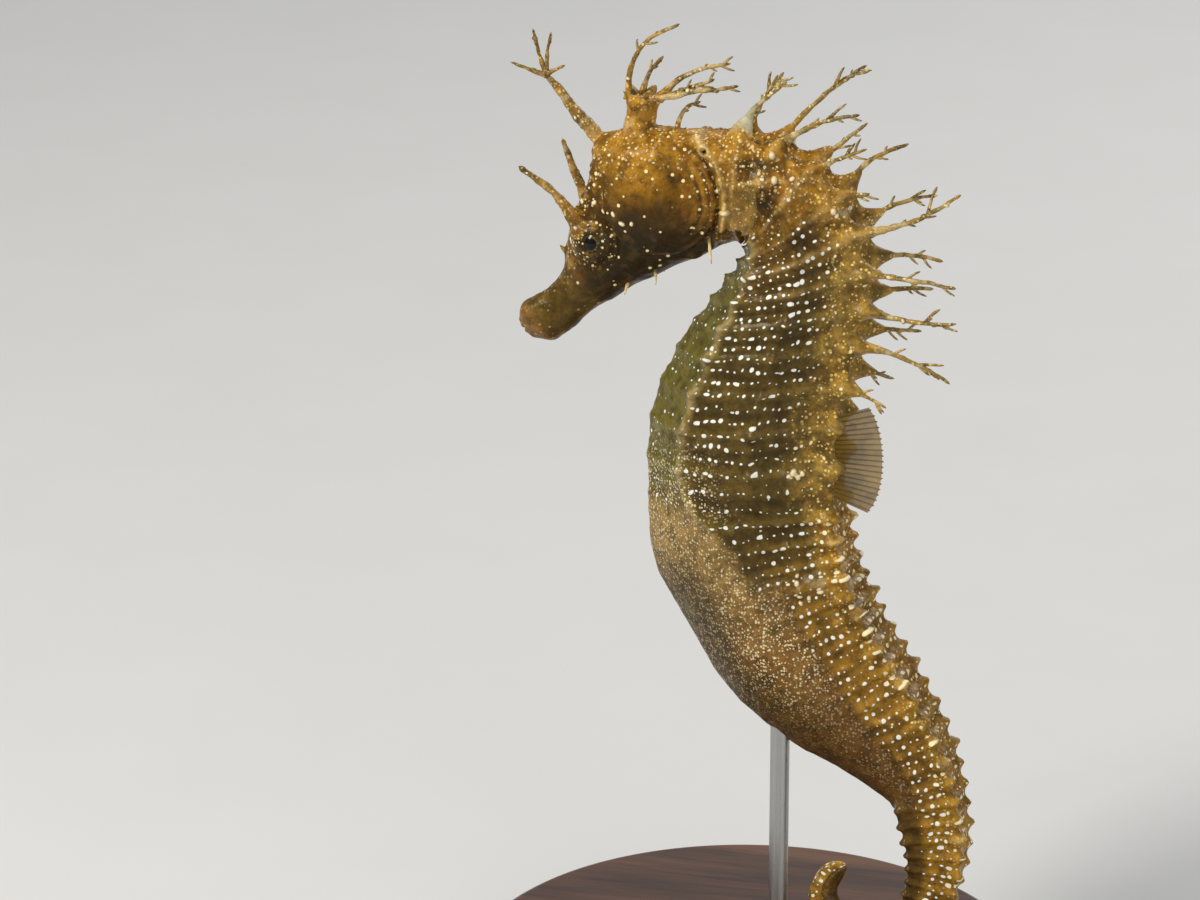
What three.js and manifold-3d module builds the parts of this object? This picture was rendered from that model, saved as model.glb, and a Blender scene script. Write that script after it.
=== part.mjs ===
// A long-snouted seahorse (Hippocampus guttulatus), life size, upright on a plain display stand.
// Millimetres, +Z up. The animal faces -X, its back faces +X and its left side faces -Y.
import * as THREE from 'three';
import { mergeVertices } from 'three/addons/utils/BufferGeometryUtils.js';
import Module from 'manifold-3d';

const wasm = await Module();
wasm.setup();

const GAP = 0.3;
const DEGREE = Math.PI / 180;

// ---------------------------------------------------------------- head and trunk
// Stations along the animal. `at` counts trunk rings from 0 at the back of the head to 12 at the root
// of the tail, and runs negative through the head to the lips. `back` and `belly` are the two edges of
// the animal in its middle plane, as [x, z], and `half` is half its width.
const STATIONS = [
  { at: -9.5, back: [-31.4, 88.7], belly: [-29.1, 86.2], half: 1.3 },
  { at: -9, back: [-31.1, 90.3], belly: [-27.2, 86.1], half: 2.2 },
  { at: -8, back: [-29.6, 91.4], belly: [-26.0, 86.9], half: 2.3 },
  { at: -7, back: [-27.9, 92.4], belly: [-24.4, 88.1], half: 2.2 },
  { at: -6, back: [-26.3, 94.1], belly: [-21.9, 90.5], half: 2.4 },
  { at: -5, back: [-25.5, 96.6], belly: [-19.5, 92.1], half: 3.0 },
  { at: -4, back: [-24.9, 101.0], belly: [-17.4, 93.6], half: 3.7 },
  { at: -3, back: [-22.9, 106.0], belly: [-14.8, 95.0], half: 4.4 },
  { at: -2, back: [-21.0, 111.3], belly: [-12.0, 96.7], half: 5.1 },
  { at: -1, back: [-16.0, 113.3], belly: [-8.8, 98.2], half: 5.3 },
  { at: 0, back: [-8.9, 113.6], belly: [-6.0, 99.8], half: 4.7 },
  { at: 2, back: [0.1, 112.3], belly: [-3.2, 100.6], half: 4.9 },
  { at: 4, back: [7.9, 107.1], belly: [-4.0, 97.7], half: 5.8 },
  { at: 6, back: [11.3, 98.6], belly: [-7.4, 93.0], half: 6.6 },
  { at: 8, back: [10.4, 89.5], belly: [-11.5, 86.5], half: 7.2 },
  { at: 10, back: [8.3, 79.0], belly: [-14.7, 77.4], half: 7.4 },
  { at: 12, back: [8.4, 68.8], belly: [-15.1, 67.4], half: 7.0 },
];
const TRUNK_END = 12;

// ---------------------------------------------------------------- tail
// Each bend is a stretch of tail and how far it turns: towards the back first, then into the curl.
const TAIL_BENDS = [
  { length: 20, turn: 31 },
  { length: 9, turn: 2 },
  { length: 18, turn: -27 },
  { length: 10, turn: -32 },
  { length: 9, turn: -60 },
  { length: 8, turn: -80 },
  { length: 7, turn: -92 },
];
const TAIL_LENGTH = TAIL_BENDS.reduce((sum, bend) => sum + bend.length, 0);
const TAIL_RINGS = 36;
const FIRST_RING_LENGTH = 3.1;
const LAST_RING_LENGTH = (2 * TAIL_LENGTH) / TAIL_RINGS - FIRST_RING_LENGTH;
// Half the depth of the tail along its length; the width is a steady share of it.
const TAIL_GIRTH = [
  { at: 0, half: 5.7 },
  { at: 20, half: 5.2 },
  { at: 36, half: 4.4 },
  { at: 50, half: 3.4 },
  { at: 62, half: 2.4 },
  { at: 73, half: 1.5 },
  { at: 81, half: 0.7 },
];
const TAIL_WIDTH_SHARE = 0.94;
// Tail rings, counted from its root, where the tail is parted into lengths.
const TAIL_PARTINGS = [0, 9, 18, 26, TAIL_RINGS];

// ---------------------------------------------------------------- brood pouch
// The pouch hangs under the tail: `at` is along the tail, `reach` from the tail's middle to the pouch's
// outer edge, and `half` its half width.
const POUCH_STATIONS = [
  { at: 0, reach: 17.8, half: 6.8 },
  { at: 6, reach: 18.0, half: 6.7 },
  { at: 12, reach: 16.3, half: 6.3 },
  { at: 18, reach: 15.4, half: 5.9 },
  { at: 24, reach: 13.7, half: 5.3 },
  { at: 30, reach: 11.2, half: 4.5 },
  { at: 36, reach: 8.2, half: 3.5 },
  { at: 42, reach: 4.6, half: 2.2 },
];
const POUCH_STEP = 1.5;

// ---------------------------------------------------------------- cross sections
// Half of a cross section, from the middle of the back to the middle of the belly, as [side, up] shares
// of the half width and half depth: back, superior ridge, lateral ridge, inferior ridge, keel.
const HEAD_SHAPE = { corners: [[0, 1], [0.62, 0.8], [1, 0.05], [0.72, -0.68], [0, -1]], bulge: 0.13 };
const TRUNK_SHAPE = { corners: [[0, 0.95], [0.5, 1], [1, 0.2], [0.82, -0.55], [0, -1]], bulge: 0.05 };
const TAIL_SHAPE = { corners: [[0, 0.9], [0.8, 0.95], [0.92, 0], [0.8, -0.9], [0, -0.92]], bulge: 0.02 };
const POUCH_SHAPE = { corners: [[0, 1], [0.7, 0.72], [1, 0], [0.7, -0.72], [0, -1]], bulge: 0.14 };
const HEAD_SHAPE_ENDS = -1;
const TRUNK_SHAPE_STARTS = 1;

// ---------------------------------------------------------------- knobs on the ridges
const KNOB_HEIGHT = { superior: 1.2, lateral: 0.5, inferior: 0.7 };
const TAIL_KNOB_SHARE = 0.2;

// ---------------------------------------------------------------- skin filaments
const FILAMENT_SIDES = 5;
const FILAMENT_STEPS = 4;
const FILAMENT_TIP = 0.26;
// Filaments of the back grow from the superior knobs: `ring` and `side` place one (-1 is the left),
// `rise` is its angle above +X, `bend` what it turns on the way, `fork` the length of its side twig.
const BACK_FILAMENTS = [
  { ring: 1, side: 1, length: 8.6, rise: 68, bend: -17, base: 0.8, fork: 2.5 },
  { ring: 1, side: -1, length: 10.8, rise: 72, bend: -38, base: 0.8, fork: 0 },
  { ring: 2, side: 1, length: 14.0, rise: 56, bend: -24, base: 0.7, fork: 3 },
  { ring: 2, side: -1, length: 12.8, rise: 48, bend: -38, base: 0.8, fork: 3 },
  { ring: 3, side: 1, length: 7.8, rise: 35, bend: 8, base: 0.7, fork: 0 },
  { ring: 3, side: -1, length: 8.4, rise: 31, bend: -6, base: 0.7, fork: 2 },
  { ring: 4, side: 1, length: 9.6, rise: 58, bend: -42, base: 0.8, fork: 0 },
  { ring: 4, side: -1, length: 4.5, rise: 24, bend: -10, base: 0.7, fork: 0 },
  { ring: 5, side: 1, length: 9.5, rise: 36, bend: -29, base: 0.8, fork: 2.5 },
  { ring: 5, side: -1, length: 15, rise: 12, bend: 30, base: 0.8, fork: 3.5 },
  { ring: 6, side: 1, length: 8.6, rise: 12, bend: -27, base: 0.7, fork: 0 },
  { ring: 6, side: -1, length: 11.8, rise: -4, bend: 3, base: 0.7, fork: 0 },
  { ring: 7, side: 1, length: 7.6, rise: 13, bend: -16, base: 0.7, fork: 0 },
  { ring: 7, side: -1, length: 12.2, rise: -14, bend: 24, base: 0.8, fork: 2.5 },
  { ring: 8, side: 1, length: 7, rise: 0, bend: -4, base: 0.7, fork: 0 },
  { ring: 8, side: -1, length: 12.8, rise: 2, bend: -34, base: 0.8, fork: 3 },
  { ring: 9, side: 1, length: 5, rise: -8, bend: -10, base: 0.6, fork: 0 },
  { ring: 9, side: -1, length: 6, rise: -14, bend: -12, base: 0.6, fork: 0 },
];
const FILAMENT_SPLAY = 0.16;

// Filaments of the head: `root` and the two later points are [x, y, z], thick at the root.
const FRONTAL_FROND = {
  root: [-20.4, 0, 110.6], knee: [-24.8, 0, 115.6], tip: [-28.0, 0, 119.3], base: 1.2, end: 0.45,
};
const FRONTAL_TWIGS = [
  { length: 4.6, rise: 172 },
  { length: 5.8, rise: 112 },
  { length: 5.4, rise: 88 },
  { length: 2.6, rise: 38 },
];
const EYE_SPINE = { root: [-23.2, 2.7, 101.6], base: 0.8, end: 0.3 };
const EYE_SPINES = [
  { ...EYE_SPINE, side: -1, knee: [-26.4, 3.3, 105.8], tip: [-30.6, 3.4, 108.8] },
  { ...EYE_SPINE, side: 1, knee: [-25.2, 3.4, 106.0], tip: [-26.9, 3.4, 110.4] },
];
const NOSE_SPINE = { length: 1.3, base: 0.6 };
const CHEEK_SPINES = [
  { root: [-17.4, 1.5, 95.2], length: 2.9, rise: -104, base: 0.4 },
  { root: [-14.2, 1.8, 97.0], length: 2.9, rise: -84, base: 0.4 },
];
const THROAT_SPINE = { root: [-7.4, 2.8, 101.6], length: 4.4, rise: -80, base: 0.4 };

// ---------------------------------------------------------------- coronet
const CORONET_FOOT = [-16.5, 0, 112.7];
const CORONET_TOP = [-16.1, 0, 117.8];
const CORONET_POINTS = 5;
const CORONET_PROFILE = [
  { at: 0, radius: 2.2, star: 0 },
  { at: 0.3, radius: 1.8, star: 0.06 },
  { at: 0.65, radius: 1.7, star: 0.14 },
  { at: 1, radius: 2.1, star: 0.3 },
];
const CORONET_SIDES = 15;
const CORONET_FRONDS = [
  { turn: 180, length: 12.2, rise: 99, bend: -84, base: 0.55, lean: 0.05 },
  { turn: 30, length: 10, rise: 52, bend: -48, base: 0.6, lean: 0.15 },
  { turn: -125, length: 13.6, rise: 16, bend: -4, base: 0.8, lean: -0.1 },
  { turn: -50, length: 8.8, rise: 29, bend: -7, base: 0.55, lean: -0.1 },
  { turn: 110, length: 5.5, rise: 84, bend: -40, base: 0.5, lean: 0.35 },
];
const NAPE_FROND = { at: -0.45, length: 5.5, rise: 94, bend: -80, base: 0.5 };

// ---------------------------------------------------------------- eyes
const EYE_RADIUS = 1.75;
const EYE_CENTRE = [-21.3, 2.75, 99.9];
// The orbit is a low round swelling that the eyeball sits in, flattened from side to side.
const ORBIT = { radius: 2.7, flatness: 0.62, sunk: 0.5 };

// ---------------------------------------------------------------- fins
const FIN_THICKNESS = 0.5;
const FAN_CORNER = 0.05;
const FAN_SCALLOP = 0.04;
const DORSAL_FIN = { from: 9.9, to: 12, height: 5.6, rays: 9 };
const PECTORAL_FIN = {
  root: [-4.9, 4.7, 106.2], height: 3.0, spread: 6.6, length: 4.8, tilt: -8, flare: 26, rays: 8,
};

// ---------------------------------------------------------------- stand
const BASE_CENTRE = [-2, 0];
const BASE_RADIUS = 37;
const BASE_HEIGHT = 6;
const BASE_BEVEL = 1;
const BASE_SIDES = 48;
const ROD_RADIUS = 1.2;
const ROD_SIDES = 12;
const ROD_BURIED = 1.6;
const POUCH_ROD_X = 1.5;
const TAIL_ROD_X = 14.6;

// ---------------------------------------------------------------- colours
const COLOURS = {
  skin: 0x6b4a22,
  skinDark: 0x46351c,
  crest: 0x9a6a26,
  pouch: 0x8f7048,
  eye: 0x14110c,
  fin: 0xa08a60,
  wood: 0x4a3526,
  steel: 0x9a9c9e,
};

// ================================================================ numbers along a line
// A smooth curve through the values of `keys` at their places `at`.
function smoothValue(keys, pick, at) {
  let i = 0;
  while (i < keys.length - 2 && at > keys[i + 1].at) i += 1;
  const slope = (k) => {
    const before = keys[Math.max(k - 1, 0)];
    const after = keys[Math.min(k + 1, keys.length - 1)];
    return (pick(after) - pick(before)) / (after.at - before.at);
  };
  const span = keys[i + 1].at - keys[i].at;
  const f = (at - keys[i].at) / span;
  const rise = f * f * (3 - 2 * f);
  const leave = f * (1 - f) * (1 - f) * span;
  const arrive = f * f * (f - 1) * span;
  return pick(keys[i]) * (1 - rise) + pick(keys[i + 1]) * rise + slope(i) * leave + slope(i + 1) * arrive;
}

const clamp01 = (value) => Math.min(1, Math.max(0, value));
const mix = (a, b, f) => a + (b - a) * f;

// The two edges and the half width of a body that is described by stations.
function edgesAt(stations, at) {
  const value = (pick) => smoothValue(stations, pick, at);
  const back = new THREE.Vector3(value((k) => k.back[0]), 0, value((k) => k.back[1]));
  const belly = new THREE.Vector3(value((k) => k.belly[0]), 0, value((k) => k.belly[1]));
  return { back, belly, half: value((k) => k.half) };
}

// ================================================================ cross sections
// Corner `index` of a whole section, counted round from the back by the left side.
function cornerOf(shape, index) {
  const last = shape.corners.length - 1;
  const around = ((index % (2 * last)) + 2 * last) % (2 * last);
  const [side, up] = shape.corners[around <= last ? around : 2 * last - around];
  return [around <= last ? -side : side, up];
}

// A place on the outline of a section: whole values of `place` are corners, the rest lies between.
function outlineAt(shape, place) {
  const index = Math.floor(place);
  const f = place - index;
  const [sideA, upA] = cornerOf(shape, index);
  const [sideB, upB] = cornerOf(shape, index + 1);
  const swell = 1 + shape.bulge * 4 * f * (1 - f);
  return [mix(sideA, sideB, f) * swell, mix(upA, upB, f) * swell];
}

function blendShapes(a, b, f) {
  const corners = a.corners.map(([side, up], i) => {
    const [otherSide, otherUp] = b.corners[i];
    return [mix(side, otherSide, f), mix(up, otherUp, f)];
  });
  return { corners, bulge: mix(a.bulge, b.bulge, f) };
}

// How far a section stands out at a corner on a ring: 1 on the ring, 0 half-way to the next.
const onRing = (at) => Math.cos(at * Math.PI) ** 2;

function knobHeight(place, share) {
  const heights = [0, KNOB_HEIGHT.superior, KNOB_HEIGHT.lateral, KNOB_HEIGHT.inferior, 0];
  const around = place <= 4 ? place : 8 - place;
  return Number.isInteger(around) ? heights[around] * share : 0;
}

// The points round one section, from its centre, its up and side half sizes and its shape.
function sectionPoints(centre, up, halfUp, halfSide, shape, steps, knobShare, grow = 0) {
  const points = [];
  for (let step = 0; step < steps; step += 1) {
    const place = (step * 8) / steps;
    const [side, rise] = outlineAt(shape, place);
    const out = new THREE.Vector3(0, side * (halfSide + grow), 0).addScaledVector(up, rise * (halfUp + grow));
    out.setLength(out.length() + knobHeight(place, knobShare));
    points.push(out.add(centre));
  }
  return points;
}

const BODY_STEPS = 16;
const TAIL_STEPS = 8;

function bodySection(at, grow = 0) {
  const { back, belly, half } = edgesAt(STATIONS, at);
  const up = back.clone().sub(belly);
  const halfUp = up.length() / 2;
  const centre = back.clone().add(belly).multiplyScalar(0.5);
  const f = clamp01((at - HEAD_SHAPE_ENDS) / (TRUNK_SHAPE_STARTS - HEAD_SHAPE_ENDS));
  const knobs = at >= 1 && at <= TRUNK_END - 0.5 ? onRing(at) : 0;
  const shape = blendShapes(HEAD_SHAPE, TRUNK_SHAPE, f);
  return sectionPoints(centre, up.normalize(), halfUp, half, shape, BODY_STEPS, knobs, grow);
}

// ================================================================ tail axis
// The tail leaves the trunk's last section square, with its back level with the trunk's.
function tailRoot() {
  const { back, belly } = edgesAt(STATIONS, TRUNK_END);
  const up = back.clone().sub(belly).normalize();
  const place = back.clone().addScaledVector(up, -TAIL_GIRTH[0].half);
  return { place, heading: Math.atan2(up.z, up.x) / DEGREE - 90 };
}

// The middle of the tail and its heading, `along` millimetres from the root.
function tailAxis(along) {
  let { place, heading } = tailRoot();
  let left = along;
  for (const bend of TAIL_BENDS) {
    const length = Math.min(left, bend.length);
    const turned = heading + (bend.turn * length) / bend.length;
    const halfTurn = ((turned - heading) / 2) * DEGREE;
    const chord = halfTurn === 0 ? length : (length * Math.sin(halfTurn)) / halfTurn;
    const middle = ((heading + turned) / 2) * DEGREE;
    place.x += chord * Math.cos(middle);
    place.z += chord * Math.sin(middle);
    heading = turned;
    left -= length;
    if (left <= 0) break;
  }
  return { place, heading };
}

// The distance of a ring of the tail from its root; rings grow shorter towards the tip.
function ringPlace(ring) {
  const shrink = (FIRST_RING_LENGTH - LAST_RING_LENGTH) / TAIL_RINGS;
  return ring * FIRST_RING_LENGTH - (shrink * ring * ring) / 2;
}

// The direction from the tail's belly to its back, for a heading in degrees.
const tailUp = (heading) => new THREE.Vector3(-Math.sin(heading * DEGREE), 0, Math.cos(heading * DEGREE));

function tailSection(ring, grow = 0) {
  const along = ringPlace(ring);
  const { place, heading } = tailAxis(along);
  const up = tailUp(heading);
  const half = smoothValue(TAIL_GIRTH, (k) => k.half, along);
  const knobs = onRing(ring - 0.5) * TAIL_KNOB_SHARE * half;
  return sectionPoints(place, up, half, half * TAIL_WIDTH_SHARE, TAIL_SHAPE, TAIL_STEPS, knobs, grow);
}

// ================================================================ meshes from sections
function closedMesh(positions, triangles) {
  const geometry = new THREE.BufferGeometry();
  geometry.setAttribute('position', new THREE.Float32BufferAttribute(positions, 3));
  geometry.setIndex(triangles);
  return geometry;
}

// A closed body through rings of points that run the same way round, capped at both ends.
function loft(rings) {
  const count = rings[0].length;
  const positions = rings.flat().flatMap((p) => [p.x, p.y, p.z]);
  const triangles = [];
  for (let r = 0; r < rings.length - 1; r += 1) {
    for (let s = 0; s < count; s += 1) {
      const a = r * count + s;
      const b = r * count + ((s + 1) % count);
      triangles.push(a, b, a + count, b, b + count, a + count);
    }
  }
  for (const [ring, flip] of [[0, true], [rings.length - 1, false]]) {
    const middle = rings[ring].reduce((sum, p) => sum.add(p), new THREE.Vector3()).divideScalar(count);
    const centre = positions.length / 3;
    positions.push(middle.x, middle.y, middle.z);
    for (let s = 0; s < count; s += 1) {
      const a = ring * count + s;
      const b = ring * count + ((s + 1) % count);
      triangles.push(...(flip ? [b, a, centre] : [a, b, centre]));
    }
  }
  return toManifold(closedMesh(positions, triangles));
}

function toManifold(geometry) {
  geometry.deleteAttribute('normal');
  geometry.deleteAttribute('uv');
  const welded = mergeVertices(geometry, 1e-5);
  const vertProperties = new Float32Array(welded.attributes.position.array);
  const triVerts = new Uint32Array(welded.index.array);
  const solid = new wasm.Manifold(new wasm.Mesh({ numProp: 3, vertProperties, triVerts }));
  if (solid.volume() > 0) return solid;
  triVerts.reverse();
  return new wasm.Manifold(new wasm.Mesh({ numProp: 3, vertProperties, triVerts }));
}

function fromManifold(solid) {
  const { vertProperties, triVerts } = solid.getMesh();
  const geometry = closedMesh(Array.from(vertProperties), Array.from(triVerts));
  const flat = geometry.toNonIndexed();
  flat.computeVertexNormals();
  return flat;
}

const joined = (solids) => solids.reduce((sum, solid) => sum.add(solid));

// Places from `from` to `to`, each `step` apart on the ring count, with both ends kept.
function placesBetween(from, to, step) {
  const places = [from];
  for (let at = Math.floor(from / step + 1) * step; at < to - step / 4; at += step) {
    if (at > from + step / 4) places.push(at);
  }
  places.push(to);
  return places;
}

function bodyBetween(from, to, grow = 0) {
  return loft(placesBetween(from, to, 0.5).map((at) => bodySection(at, grow)));
}

function tailBetween(from, to, grow = 0) {
  return loft(placesBetween(from, to, 0.5).map((ring) => tailSection(ring, grow)));
}

// ================================================================ filaments and spines
// A tapering tube through points, closed at both ends.
function taperedTube(points, base, end) {
  const curve = new THREE.CatmullRomCurve3(points);
  const rings = [];
  for (let step = 0; step <= FILAMENT_STEPS; step += 1) {
    const f = step / FILAMENT_STEPS;
    const along = curve.getTangent(f);
    const across = new THREE.Vector3(0, 1, 0).cross(along).normalize();
    const side = along.clone().cross(across).normalize();
    const radius = mix(base, end, Math.sqrt(f));
    const ring = [];
    for (let s = 0; s < FILAMENT_SIDES; s += 1) {
      const turn = (s * 2 * Math.PI) / FILAMENT_SIDES;
      const out = across.clone().multiplyScalar(Math.cos(turn)).addScaledVector(side, Math.sin(turn));
      ring.push(curve.getPoint(f).addScaledVector(out, radius));
    }
    rings.push(ring);
  }
  return loft(rings);
}

// A filament that leaves `root` at `rise` degrees above +X and turns by `bend` on the way.
function filamentPoints(root, length, rise, bend, lean) {
  const points = [root.clone()];
  const step = length / 3;
  for (let i = 0; i < 3; i += 1) {
    const angle = (rise + (bend * (i + 0.5)) / 3) * DEGREE;
    const way = new THREE.Vector3(Math.cos(angle), lean, Math.sin(angle)).setLength(step);
    points.push(points[i].clone().add(way));
  }
  return points;
}

function filament({ root, length, rise, bend = 0, base, lean = 0, fork = 0 }) {
  const points = filamentPoints(root, length, rise, bend, lean);
  const tubes = [taperedTube(points, base, FILAMENT_TIP)];
  if (fork > 0) {
    const twig = filamentPoints(points[2], fork, rise + bend + 42, -20, -lean);
    tubes.push(taperedTube(twig, 0.3, FILAMENT_TIP));
  }
  return joined(tubes);
}

// A filament rooted just under a superior knob of the trunk.
function backFilament({ ring, side, ...rest }) {
  const knob = bodySection(ring)[side < 0 ? 2 : 14];
  const centre = edgesAt(STATIONS, ring).back;
  const root = knob.lerp(centre, 0.22);
  return filament({ root, lean: FILAMENT_SPLAY * side, ...rest });
}

function mirrored(point, side) {
  return new THREE.Vector3(point[0], point[1] * side, point[2]);
}

function frond({ root, knee, tip, base, end, side = 1 }) {
  return taperedTube([root, knee, tip].map((p) => mirrored(p, side)), base, end);
}

// ================================================================ the parts
function snout() {
  return bodyBetween(-9.5, -5.2);
}

function head() {
  const pieces = [bodyBetween(-5.1, -0.05), frond(FRONTAL_FROND)];
  const fork = new THREE.Vector3(...FRONTAL_FROND.tip);
  for (const twig of FRONTAL_TWIGS) {
    pieces.push(filament({ root: fork, base: 0.4, bend: -12, ...twig }));
  }
  pieces.push(...EYE_SPINES.map(frond));
  const nose = edgesAt(STATIONS, -4.8).back;
  pieces.push(filament({ root: nose, rise: 138, ...NOSE_SPINE }));
  for (const side of [-1, 1]) {
    for (const { root, ...rest } of [...CHEEK_SPINES, THROAT_SPINE]) {
      pieces.push(filament({ root: mirrored(root, side), lean: side * 0.3, ...rest }));
    }
  }
  const nape = edgesAt(STATIONS, NAPE_FROND.at).back;
  nape.z -= NAPE_FROND.base;
  pieces.push(filament({ root: nape, ...NAPE_FROND }));
  const sockets = [-1, 1].map((side) => eyeball(side, EYE_RADIUS + GAP));
  pieces.push(orbit(-1), orbit(1));
  return joined(pieces).subtract(joined(sockets)).subtract(coronetStem(GAP));
}

function orbit(side) {
  const swelling = new THREE.SphereGeometry(ORBIT.radius, 16, 10);
  swelling.scale(1, ORBIT.flatness, 1);
  swelling.translate(EYE_CENTRE[0], (EYE_CENTRE[1] - ORBIT.sunk) * side, EYE_CENTRE[2]);
  return toManifold(swelling);
}

function eyeball(side, radius) {
  const ball = new THREE.SphereGeometry(radius, 14, 9);
  ball.translate(EYE_CENTRE[0], EYE_CENTRE[1] * side, EYE_CENTRE[2]);
  return toManifold(ball);
}

// The stem of the coronet, a five-pointed star that opens upwards.
function coronetStem(grow = 0) {
  const foot = new THREE.Vector3(...CORONET_FOOT);
  const axis = new THREE.Vector3(...CORONET_TOP).sub(foot);
  const ahead = new THREE.Vector3(0, 1, 0).cross(axis).normalize();
  foot.addScaledVector(axis, -grow / axis.length());
  return loft(CORONET_PROFILE.map(({ at, radius, star }) => {
    const ring = [];
    for (let s = 0; s < CORONET_SIDES; s += 1) {
      const turn = (s * 2 * Math.PI) / CORONET_SIDES;
      const reach = radius * (1 + star * Math.cos(turn * CORONET_POINTS)) + grow;
      const point = foot.clone().addScaledVector(axis, at).addScaledVector(ahead, reach * Math.cos(turn));
      ring.push(point.add(new THREE.Vector3(0, -reach * Math.sin(turn), 0)));
    }
    return ring;
  }));
}

function coronet() {
  const rim = CORONET_PROFILE.at(-1).radius * 0.8;
  const fronds = CORONET_FRONDS.map(({ turn, ...rest }) => {
    const root = new THREE.Vector3(...CORONET_TOP);
    root.x += rim * Math.cos(turn * DEGREE);
    root.y += rim * Math.sin(turn * DEGREE);
    root.z -= 0.8;
    return filament({ root, ...rest });
  });
  return joined([coronetStem(), ...fronds]);
}

function trunkPart(from, to) {
  const filaments = BACK_FILAMENTS.filter(({ ring }) => ring > from && ring < to).map(backFilament);
  return joined([bodyBetween(from, to), ...filaments]);
}

function tailPart(index) {
  const from = TAIL_PARTINGS[index];
  const to = TAIL_PARTINGS[index + 1];
  const parting = to < TAIL_RINGS ? 0.1 : 0;
  return tailBetween(from + (index === 0 ? 0.15 : 0), to - parting);
}

function pouch() {
  const whole = loft(placesBetween(GAP, POUCH_STATIONS.at(-1).at, POUCH_STEP).map((along) => {
    const { place, heading } = tailAxis(along);
    const reach = smoothValue(POUCH_STATIONS, (k) => k.reach, along);
    const half = smoothValue(POUCH_STATIONS, (k) => k.half, along);
    const centre = place.addScaledVector(tailUp(heading), -reach / 2);
    return sectionPoints(centre, tailUp(heading), reach / 2, half, POUCH_SHAPE, BODY_STEPS, 0);
  }));
  return whole.subtract(tailBetween(0, TAIL_PARTINGS[2], GAP));
}

// A fan of rays: straight spokes from a root line, with a scalloped free edge.
function fan(rootA, rootB, tipA, tipB, swell, rays, across) {
  const near = [];
  const far = [];
  const steps = rays * 2;
  for (let s = 0; s <= steps; s += 1) {
    const f = s / steps;
    const root = rootA.clone().lerp(rootB, f);
    const reach = 1 + swell * (Math.sqrt(Math.sin(Math.PI * f) + FAN_CORNER) - 1) - (s % 2) * FAN_SCALLOP;
    const tip = tipA.clone().lerp(tipB, f).sub(root).multiplyScalar(reach).add(root);
    near.push(root);
    far.push(tip);
  }
  const thick = across.clone().multiplyScalar(FIN_THICKNESS / 2);
  const rings = near.map((root, i) => [
    root.clone().sub(thick), far[i].clone().sub(thick), far[i].clone().add(thick), root.clone().add(thick),
  ]);
  return loft(rings);
}

function dorsalFin() {
  const { from, to, height, rays } = DORSAL_FIN;
  const top = edgesAt(STATIONS, from).back;
  const bottom = edgesAt(STATIONS, to).back;
  const inward = new THREE.Vector3(-1, 0, 0);
  const topTip = top.clone().add(new THREE.Vector3(height, 0, height * 0.3));
  const bottomTip = bottom.clone().add(new THREE.Vector3(height, 0, -height * 0.3));
  top.add(inward);
  bottom.add(inward);
  const sheet = fan(top, bottom, topTip, bottomTip, 0.3, rays, new THREE.Vector3(0, 1, 0));
  return sheet.subtract(bodyBetween(9, TRUNK_END, GAP)).subtract(tailBetween(0, 3, GAP));
}

function pectoralFin(side) {
  const { root, height, spread, length, tilt, flare, rays } = PECTORAL_FIN;
  const down = new THREE.Vector3(Math.sin(tilt * DEGREE), 0, -Math.cos(tilt * DEGREE));
  const out = new THREE.Vector3(Math.cos(flare * DEGREE), side * Math.sin(flare * DEGREE), 0);
  const middle = mirrored(root, side);
  const rootA = middle.clone().addScaledVector(down, -height / 2);
  const rootB = middle.clone().addScaledVector(down, height / 2);
  const tipA = middle.clone().addScaledVector(down, -spread / 2).addScaledVector(out, length);
  const tipB = middle.clone().addScaledVector(down, spread / 2).addScaledVector(out, length);
  const across = down.clone().cross(out).normalize();
  return fan(rootA, rootB, tipA, tipB, 0.3, rays, across).subtract(bodyBetween(-1, 4, GAP));
}

// ================================================================ the stand
function rod(x, top, radius = ROD_RADIUS, bottom = BASE_HEIGHT + GAP) {
  const bar = new THREE.CylinderGeometry(radius, radius, top - bottom, ROD_SIDES);
  bar.rotateX(Math.PI / 2);
  bar.translate(x, 0, (top + bottom) / 2);
  return toManifold(bar);
}

function standBase() {
  const edge = [
    [0, 0],
    [BASE_RADIUS - BASE_BEVEL / 2, 0],
    [BASE_RADIUS, BASE_BEVEL / 2],
    [BASE_RADIUS, BASE_HEIGHT - BASE_BEVEL],
    [BASE_RADIUS - BASE_BEVEL, BASE_HEIGHT],
    [0, BASE_HEIGHT],
  ];
  const disc = new THREE.LatheGeometry(edge.map(([r, z]) => new THREE.Vector2(r, z)), BASE_SIDES);
  disc.rotateX(Math.PI / 2);
  disc.translate(BASE_CENTRE[0], BASE_CENTRE[1], 0);
  return toManifold(disc);
}

// How high the underside of a solid lies over a point of the middle plane.
function undersideAt(solid, x) {
  const reach = 200;
  const [hit] = solid.rayCast([x, 0.01, 0], [x, 0.01, reach]);
  return hit.position[2];
}

// ================================================================ the model
const model = new THREE.Group();

function place(name, solid, colour, roughness = 0.5, metalness = 0) {
  const material = new THREE.MeshStandardMaterial({ color: colour, roughness, metalness });
  const mesh = new THREE.Mesh(fromManifold(solid), material);
  mesh.name = name;
  model.add(mesh);
}

const pouchWhole = pouch();
const tailWhole = TAIL_PARTINGS.slice(0, -1).map((_, index) => tailPart(index));
const pouchRodTop = undersideAt(pouchWhole, POUCH_ROD_X) + ROD_BURIED;
const tailRodTop = undersideAt(joined(tailWhole), TAIL_ROD_X) + ROD_BURIED;
const sockets = [
  rod(POUCH_ROD_X, pouchRodTop + GAP, ROD_RADIUS + GAP),
  rod(TAIL_ROD_X, tailRodTop + GAP, ROD_RADIUS + GAP),
];
const socketed = (solid) => solid.subtract(joined(sockets));

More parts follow.
